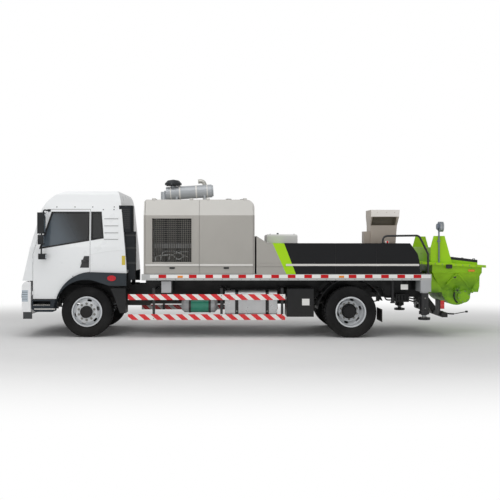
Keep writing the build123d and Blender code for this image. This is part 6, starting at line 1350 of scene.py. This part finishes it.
cab_white = finished("cab_white", "e9ebec", rough=0.3, coat=0.3, peel=(300.0, 0.01),
                     shade=cab_shades)
dress(cab_white, "cab_shell", "door_left", "door_right")
DOOR_LINE = [(-4.353, 0.762), (-3.885, 0.762), (-3.790, 1.010), (-3.560, 1.220),
             (-3.226, 1.286), (-3.226, 2.527), (-4.071, 2.527), (-4.353, 1.640)]
DOOR_PANE = [(-4.198, 1.767), (-3.261, 1.923), (-3.261, 2.461), (-3.975, 2.461)]
SIDE_PANE = [(-3.191, 1.935), (-2.980, 1.970), (-3.023, 2.461), (-3.191, 2.461)]
SLATS = (1.939, 2.066, 2.204, 2.343)
RAIN_CHANNEL = (along(-700), along(90))
SIDES = ((-1, cab_left, "cab_door_left"), (1, cab_right, "cab_door_right"))
shape = bmesh.new()
for side, wall, _ in SIDES:
    laid_panel(shape, *RAIN_CHANNEL, 2.532, 2.541, wall, -0.004, 0.011)
    laid_panel(shape, *RAIN_CHANNEL, 2.541, 2.548, wall, -0.004, 0.004)
    crease = [(along(92), 1.640), (along(200), 1.662), (along(330), 1.690),
              (along(520), 1.712), (along(735), 1.722)]
    piped(shape, [wall(x, z, -0.001) for x, z in crease], 0.006, 8)
    for z in SLATS:
        laid_panel(shape, along(357), along(623), z + 0.010, z + 0.016, wall, 0.010, 0.0155)
laid_panel(shape, -0.90, 0.90, 2.520, 2.534, cab_front, -0.004, 0.010)
for y in (-0.72, 0.0, 0.72):
    piped(shape, [(-3.70, y, 2.8885), (-2.75, y, 2.8885)], 0.008, 8)
place_piece(shape, "rain_channels", "cab", cab_white)
shape = bmesh.new()
for side, wall, _ in SIDES:
    for station, z in ((-586, 2.573), (-228, 2.573), (121, 2.573), (331, 2.520),
                       (541, 2.520), (545, 2.573)):
        spot = wall(along(station), z, 0.001)
        round_between(shape, spot, "y", 0.006, 0.011, sides=14)
    laid_ring(shape, DOOR_LINE, -0.003, 0.004, wall, -0.016, -0.006, steps=3)
    for z in SLATS:
        laid_panel(shape, along(352), along(628), z - 0.008, z - 0.001, wall, -0.002, 0.002)
place_piece(shape, "cab_screws_and_gap_seals", "cab", handle_black)
yellow_tape = finished("yellow_tape", "c9b43a", rough=0.4, coat=0.3, spread=0.08)
shape = bmesh.new()
for side, wall, _ in SIDES:
    laid_panel(shape, along(700), along(768), 1.430, 1.612, wall, -0.001, 0.0015, steps=1)
place_piece(shape, "yellow_tape_patches", "cab", yellow_tape)
HANDLE_PLATE = [(along(-122), 1.377), (along(58), 1.377), (along(62), 1.607),
                (along(-38), 1.607)]
for side, wall, body in SIDES:
    shape = bmesh.new()
    rows = [[shape.verts.new(wall(x, z, lift)) for x, z in HANDLE_PLATE]
            for lift in (-0.001, 0.004)]
    shape.faces.new(rows[0])
    shape.faces.new(rows[1])
    for index in range(4):
        shape.faces.new((rows[0][index - 1], rows[0][index], rows[1][index],
                         rows[1][index - 1]))
    box_between(shape, (along(-92), side * 1.1805, 1.477), (along(42), side * 1.2045, 1.533),
                edge=0.006, segments=2)
    round_between(shape, (along(20), side * 1.184, 1.430), "y", 0.010, 0.014, sides=20)
    place_piece(shape, body + "_handle", body, handle_black)

# ---------------------------------------------------------------------------------------------
# Cab windows and grille. Tinted safety glass with a painted reflection, light at the front and
# darker towards the rear, in black rubber seals; two wiper arms rest on the windscreen, and a
# slatted dark grille lies under it.
# share of the opaque painted reflection laid over the clear glass
PAINTED_REFLECTION_SHARE = 0.62


def glass_with_painted_reflection(name, low, high):
    """Safety glass with a painted reflection fading along X from light at the front to dark at the
    rear, over a soft tint.
    """
    made, tree, out = blank_material(name)
    coords = node(tree, "ShaderNodeTexCoord").outputs["Object"]
    x, z = apart(tree, coords, "XZ")
    # painted reflection: light grey-blue at the front fading to near-black towards the rear along
    # a slanting line
    lean = calc(tree, "ADD", x, calc(tree, "MULTIPLY_ADD", z, 0.55, -1.2))
    share = ranged(tree, lean, low, high, interpolation_type="SMOOTHSTEP")
    veil = ranged(tree, noise(tree, coords, 2.2, 3.0), 0.2, 0.8, 0.10, 0.22)
    tint = laid_over(tree, coords, swatch("6f7c87"), swatch("0b0d0f"), share)
    tint = laid_over(tree, coords, tint, swatch("14181c"), veil)
    painted_reflection = node(tree, "ShaderNodeBsdfPrincipled", {"Base Color": tint, "Roughness": 0.35,
                                                   "Specular IOR Level": 0.2})
    clear = node(tree, "ShaderNodeBsdfPrincipled", {
        "Base Color": swatch("4a545c"), "Roughness": 0.02, "IOR": 1.45,
        "Transmission Weight": 1.0})
    mixed = node(tree, "ShaderNodeMixShader", {0: PAINTED_REFLECTION_SHARE, 1: clear.outputs[0],
                                               2: painted_reflection.outputs[0]})
    tree.links.new(mixed.outputs[0], out.inputs["Surface"])
    return made


cab_glass = glass_with_painted_reflection("cab_glass_painted_reflection", -4.15, -3.35)
dress(cab_glass, "cab_glass", "door_glass_left", "door_glass_right")
shape = bmesh.new()
for side, wall, _ in SIDES:
    laid_ring(shape, SIDE_PANE, -0.010, 0.020, wall, -0.030, 0.004)
laid_ring(shape, [(-1.010, 1.815), (1.010, 1.815), (0.960, 2.475), (-0.960, 2.475)],
          -0.016, 0.024, cab_front, -0.030, 0.004, steps=10)
laid_ring(shape, [(-0.450, 1.950), (0.450, 1.950), (0.450, 2.400), (-0.450, 2.400)],
          -0.012, 0.022, lambda y, z, lift: Vector((cab_level(z)[3] + lift, y, z)),
          -0.030, 0.005)
place_piece(shape, "window_seals", "cab", flap_rubber)
for side, wall, body in SIDES:
    shape = bmesh.new()
    laid_ring(shape, DOOR_PANE, -0.010, 0.020, wall, -0.030, 0.004)
    place_piece(shape, body + "_window_seal", body, flap_rubber)
shape = bmesh.new()
for foot in (-0.78, 0.02):
    arm = [cab_front(foot, 1.770, 0.006), cab_front(foot, 1.790, 0.030),
           cab_front(foot + 0.33, 1.875, 0.026), cab_front(foot + 0.62, 1.935, 0.022)]
    piped(shape, arm, 0.008, 10)
    round_between(shape, cab_front(foot, 1.775, 0.010), "x", 0.040, 0.024, sides=20,
                  edge=0.003)
    blade = [cab_front(foot + 0.30 + 0.06 * s, 1.845 + 0.011 * s, 0.012) for s in range(10)]
    piped(shape, blade, 0.007, 8)
place_piece(shape, "wipers", "cab", handle_black)
shape = bmesh.new()
laid_panel(shape, -0.88, 0.88, 1.180, 1.700, cab_front, -0.006, 0.0015)
for count in range(6):
    z = 1.215 + count * 0.080
    laid_panel(shape, -0.84, 0.84, z, z + 0.040, cab_front, 0.001, 0.012)
laid_ring(shape, [(-0.88, 1.180), (0.88, 1.180), (0.84, 1.700), (-0.84, 1.700)], -0.004,
          0.018, cab_front, -0.002, 0.010, steps=10)
place_piece(shape, "front_grille", "cab", trim_grey)

# ---------------------------------------------------------------------------------------------
# Arch trims, air intake and mirrors. Grained dark plastic mouldings clipped to the cab, with a
# plain red reflector behind each wheel; mirror glasses in black housings.


def arch_shades(tree, coords):
    """Grained dark moulding with the red lens of the side reflector."""
    out = calc(tree, "ABSOLUTE", apart(tree, coords, "Y"))
    return laid_over(tree, coords, ("2b3238", 0.08, 3.0), ("c2202a", 0.15, 30.0),
                     calc(tree, "GREATER_THAN", out, 1.2304))


arch_trim = finished("arch_trim", "2b3238", rough=0.55, peel=(420.0, 0.2),
                     shade=arch_shades, sheen=0.35)
dress(arch_trim, "cab_arches")
intake_black = finished("intake_black", "181c20", rough=0.55, peel=(380.0, 0.15), spread=0.1,
                        sheen=0.3)
dress(intake_black, "intake_snorkel")
mirror_black = finished("mirror_black", "14181b", rough=0.48, peel=(380.0, 0.12), spread=0.1,
                        sheen=0.35)
dress(mirror_black, "mirror_left", "mirror_right")
shape = bmesh.new()
for side in (-1, 1):
    box_between(shape, (along(270), side * 1.229, 1.178), (along(392), side * 1.2325, 1.184))
    round_between(shape, (along(508), side * 1.231, 1.172), "y", 0.004, 0.020, sides=24)
    for x, z in ((along(-480), 0.900), (along(-250), 1.210), (along(30), 1.262),
                 (along(720), 1.262), (along(720), 1.060)):
        round_between(shape, (x, side * 1.2305, z), "y", 0.005, 0.009, sides=12)
for count in range(10):
    z = 2.150 + count * 0.040
    box_between(shape, (along(690), -1.1335, z), (along(850), -1.1285, z + 0.018), edge=0.001)
    box_between(shape, (along(900), -1.080, z), (along(908), -0.910, z + 0.018), edge=0.001)
for z in (1.45, 1.75, 2.00):
    box_between(shape, (along(742), -1.0935, z), (along(952), -0.8965, z + 0.030), edge=0.002)
place_piece(shape, "intake_slats", "cab", handle_black)
mirror_glass = finished("mirror_glass", "c9d0d6", rough=0.03, metal=1.0, peel=(3.0, 0.01),
                        spread=0.04)
HEADS = ((-768, 2.070, 2.430, 1.305, 1.425), (-780, 1.855, 2.000, 1.310, 1.420),
         (-760, 1.562, 1.638, 1.268, 1.362))
for side, wall, body in SIDES:
    shape = bmesh.new()
    for station, z0, z1, y0, y1 in HEADS:
        box_between(shape, (along(station) - 0.004, side * y0, z0),
                    (along(station) + 0.003, side * y1, z1), edge=0.0015)
    place_piece(shape, body + "_mirror_glass", body, mirror_glass)
    shape = bmesh.new()
    for z in (2.12, 2.38):
        round_between(shape, (along(-832), side * 1.362, z), "z", 0.030, 0.022, sides=20,
                      edge=0.003)
    box_between(shape, (along(-762), side * 1.124, 2.478), (along(-706), side * 1.140, 2.524),
                edge=0.004)
    place_piece(shape, body + "_mirror_clamps", body, mirror_black)

# ---------------------------------------------------------------------------------------------
# Cab inside. Moulded dark grey dashboard with a gauge hood and vents, a gear lever on
# its base, and two upholstered seats with sewn channels and headrests.
dash_plastic = finished("dash_plastic", "2c2e31", rough=0.6, peel=(350.0, 0.25), spread=0.1)
dress(dash_plastic, "cab_interior")
shape = bmesh.new()
box_between(shape, (-4.235, -0.700, 1.728), (-4.150, -0.260, 1.790), edge=0.018, segments=2)
for y in (-0.90, 0.15, 0.60, 0.90):
    box_between(shape, (-4.142, y - 0.070, 1.640), (-4.128, y + 0.070, 1.700), edge=0.004)
    for z in (1.652, 1.668, 1.684):
        box_between(shape, (-4.130, y - 0.062, z), (-4.124, y + 0.062, z + 0.005))
round_between(shape, (-3.60, 0.0, 1.400), "z", 0.420, 0.012, sides=12)
bmesh.ops.create_icosphere(shape, subdivisions=2, radius=0.030,
                           matrix=Matrix.Translation((-3.60, 0.0, 1.625)))
box_between(shape, (-3.700, -0.080, 1.292), (-3.500, 0.080, 1.330), edge=0.010)
place_piece(shape, "dash_fittings", "cab", handle_black)


def cloth_shades(tree, coords):
    """Grey woven seat cloth with darker threads."""
    weave = node(tree, "ShaderNodeTexWave", {"Vector": coords, "Scale": 90.0,
                                             "Distortion": 1.5}, bands_direction="DIAGONAL")
    return laid_over(tree, coords, ("4d5157", 0.1, 6.0), ("373b40", 0.1, 6.0),
                     weave.outputs["Fac"])


seat_cloth = finished("seat_cloth", "4d5157", rough=0.9, peel=(600.0, 0.5),
                      shade=cloth_shades)


def pad(name, size, middle, lean, channels):
    """Upholstered pad: a crowned cushion with sewn channels, leaned back about Y."""
    shape = bmesh.new()
    bmesh.ops.create_cube(shape, size=1.0, matrix=Matrix.LocRotScale(
        Vector((0, 0, 0)), None, Vector(size)))
    bmesh.ops.bevel(shape, geom=list(shape.edges), offset=min(size) * 0.22, segments=3,
                    affect="EDGES", profile=0.5, material=-1)
    bmesh.ops.subdivide_edges(shape, edges=[e for e in shape.edges if e.calc_length() > 0.08],
                              cuts=9, use_grid_fill=True)
    for vert in shape.verts:
        u, v = 2 * vert.co.x / size[0], 2 * vert.co.y / size[1]
        crown = max(0.0, (1 - u * u)) * max(0.0, (1 - v * v))
        sewn = sum(math.exp(-((v - c) / 0.05) ** 2) for c in channels)
        if vert.co.z > 0:
            vert.co.z += 0.018 * crown - 0.012 * sewn * max(0.0, 1 - u ** 4)
        vert.co.y *= 1 - 0.04 * (1 - abs(v)) * abs(u)
    turn = Matrix.Rotation(math.radians(lean), 4, "Y")
    bmesh.ops.transform(shape, matrix=Matrix.Translation(middle) @ turn, verts=shape.verts)
    piece = place_piece(shape, name, "cab", seat_cloth, crease=80.0)
    return piece


seat_pads = []
for side, seat in ((-1, "left"), (1, "right")):
    y = side * 0.480
    seat_pads += [
        pad(seat + "_seat_cushion", (0.470, 0.480, 0.115), (-3.395, y, 1.582), 0.0,
            (-0.42, 0.42)),
        pad(seat + "_seat_back", (0.640, 0.470, 0.090), (-3.125, y, 1.915), -80.0,
            (-0.42, 0.42)),
        pad(seat + "_headrest", (0.165, 0.255, 0.080), (-3.045, y, 2.312), -84.0, ())]
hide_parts("seats")
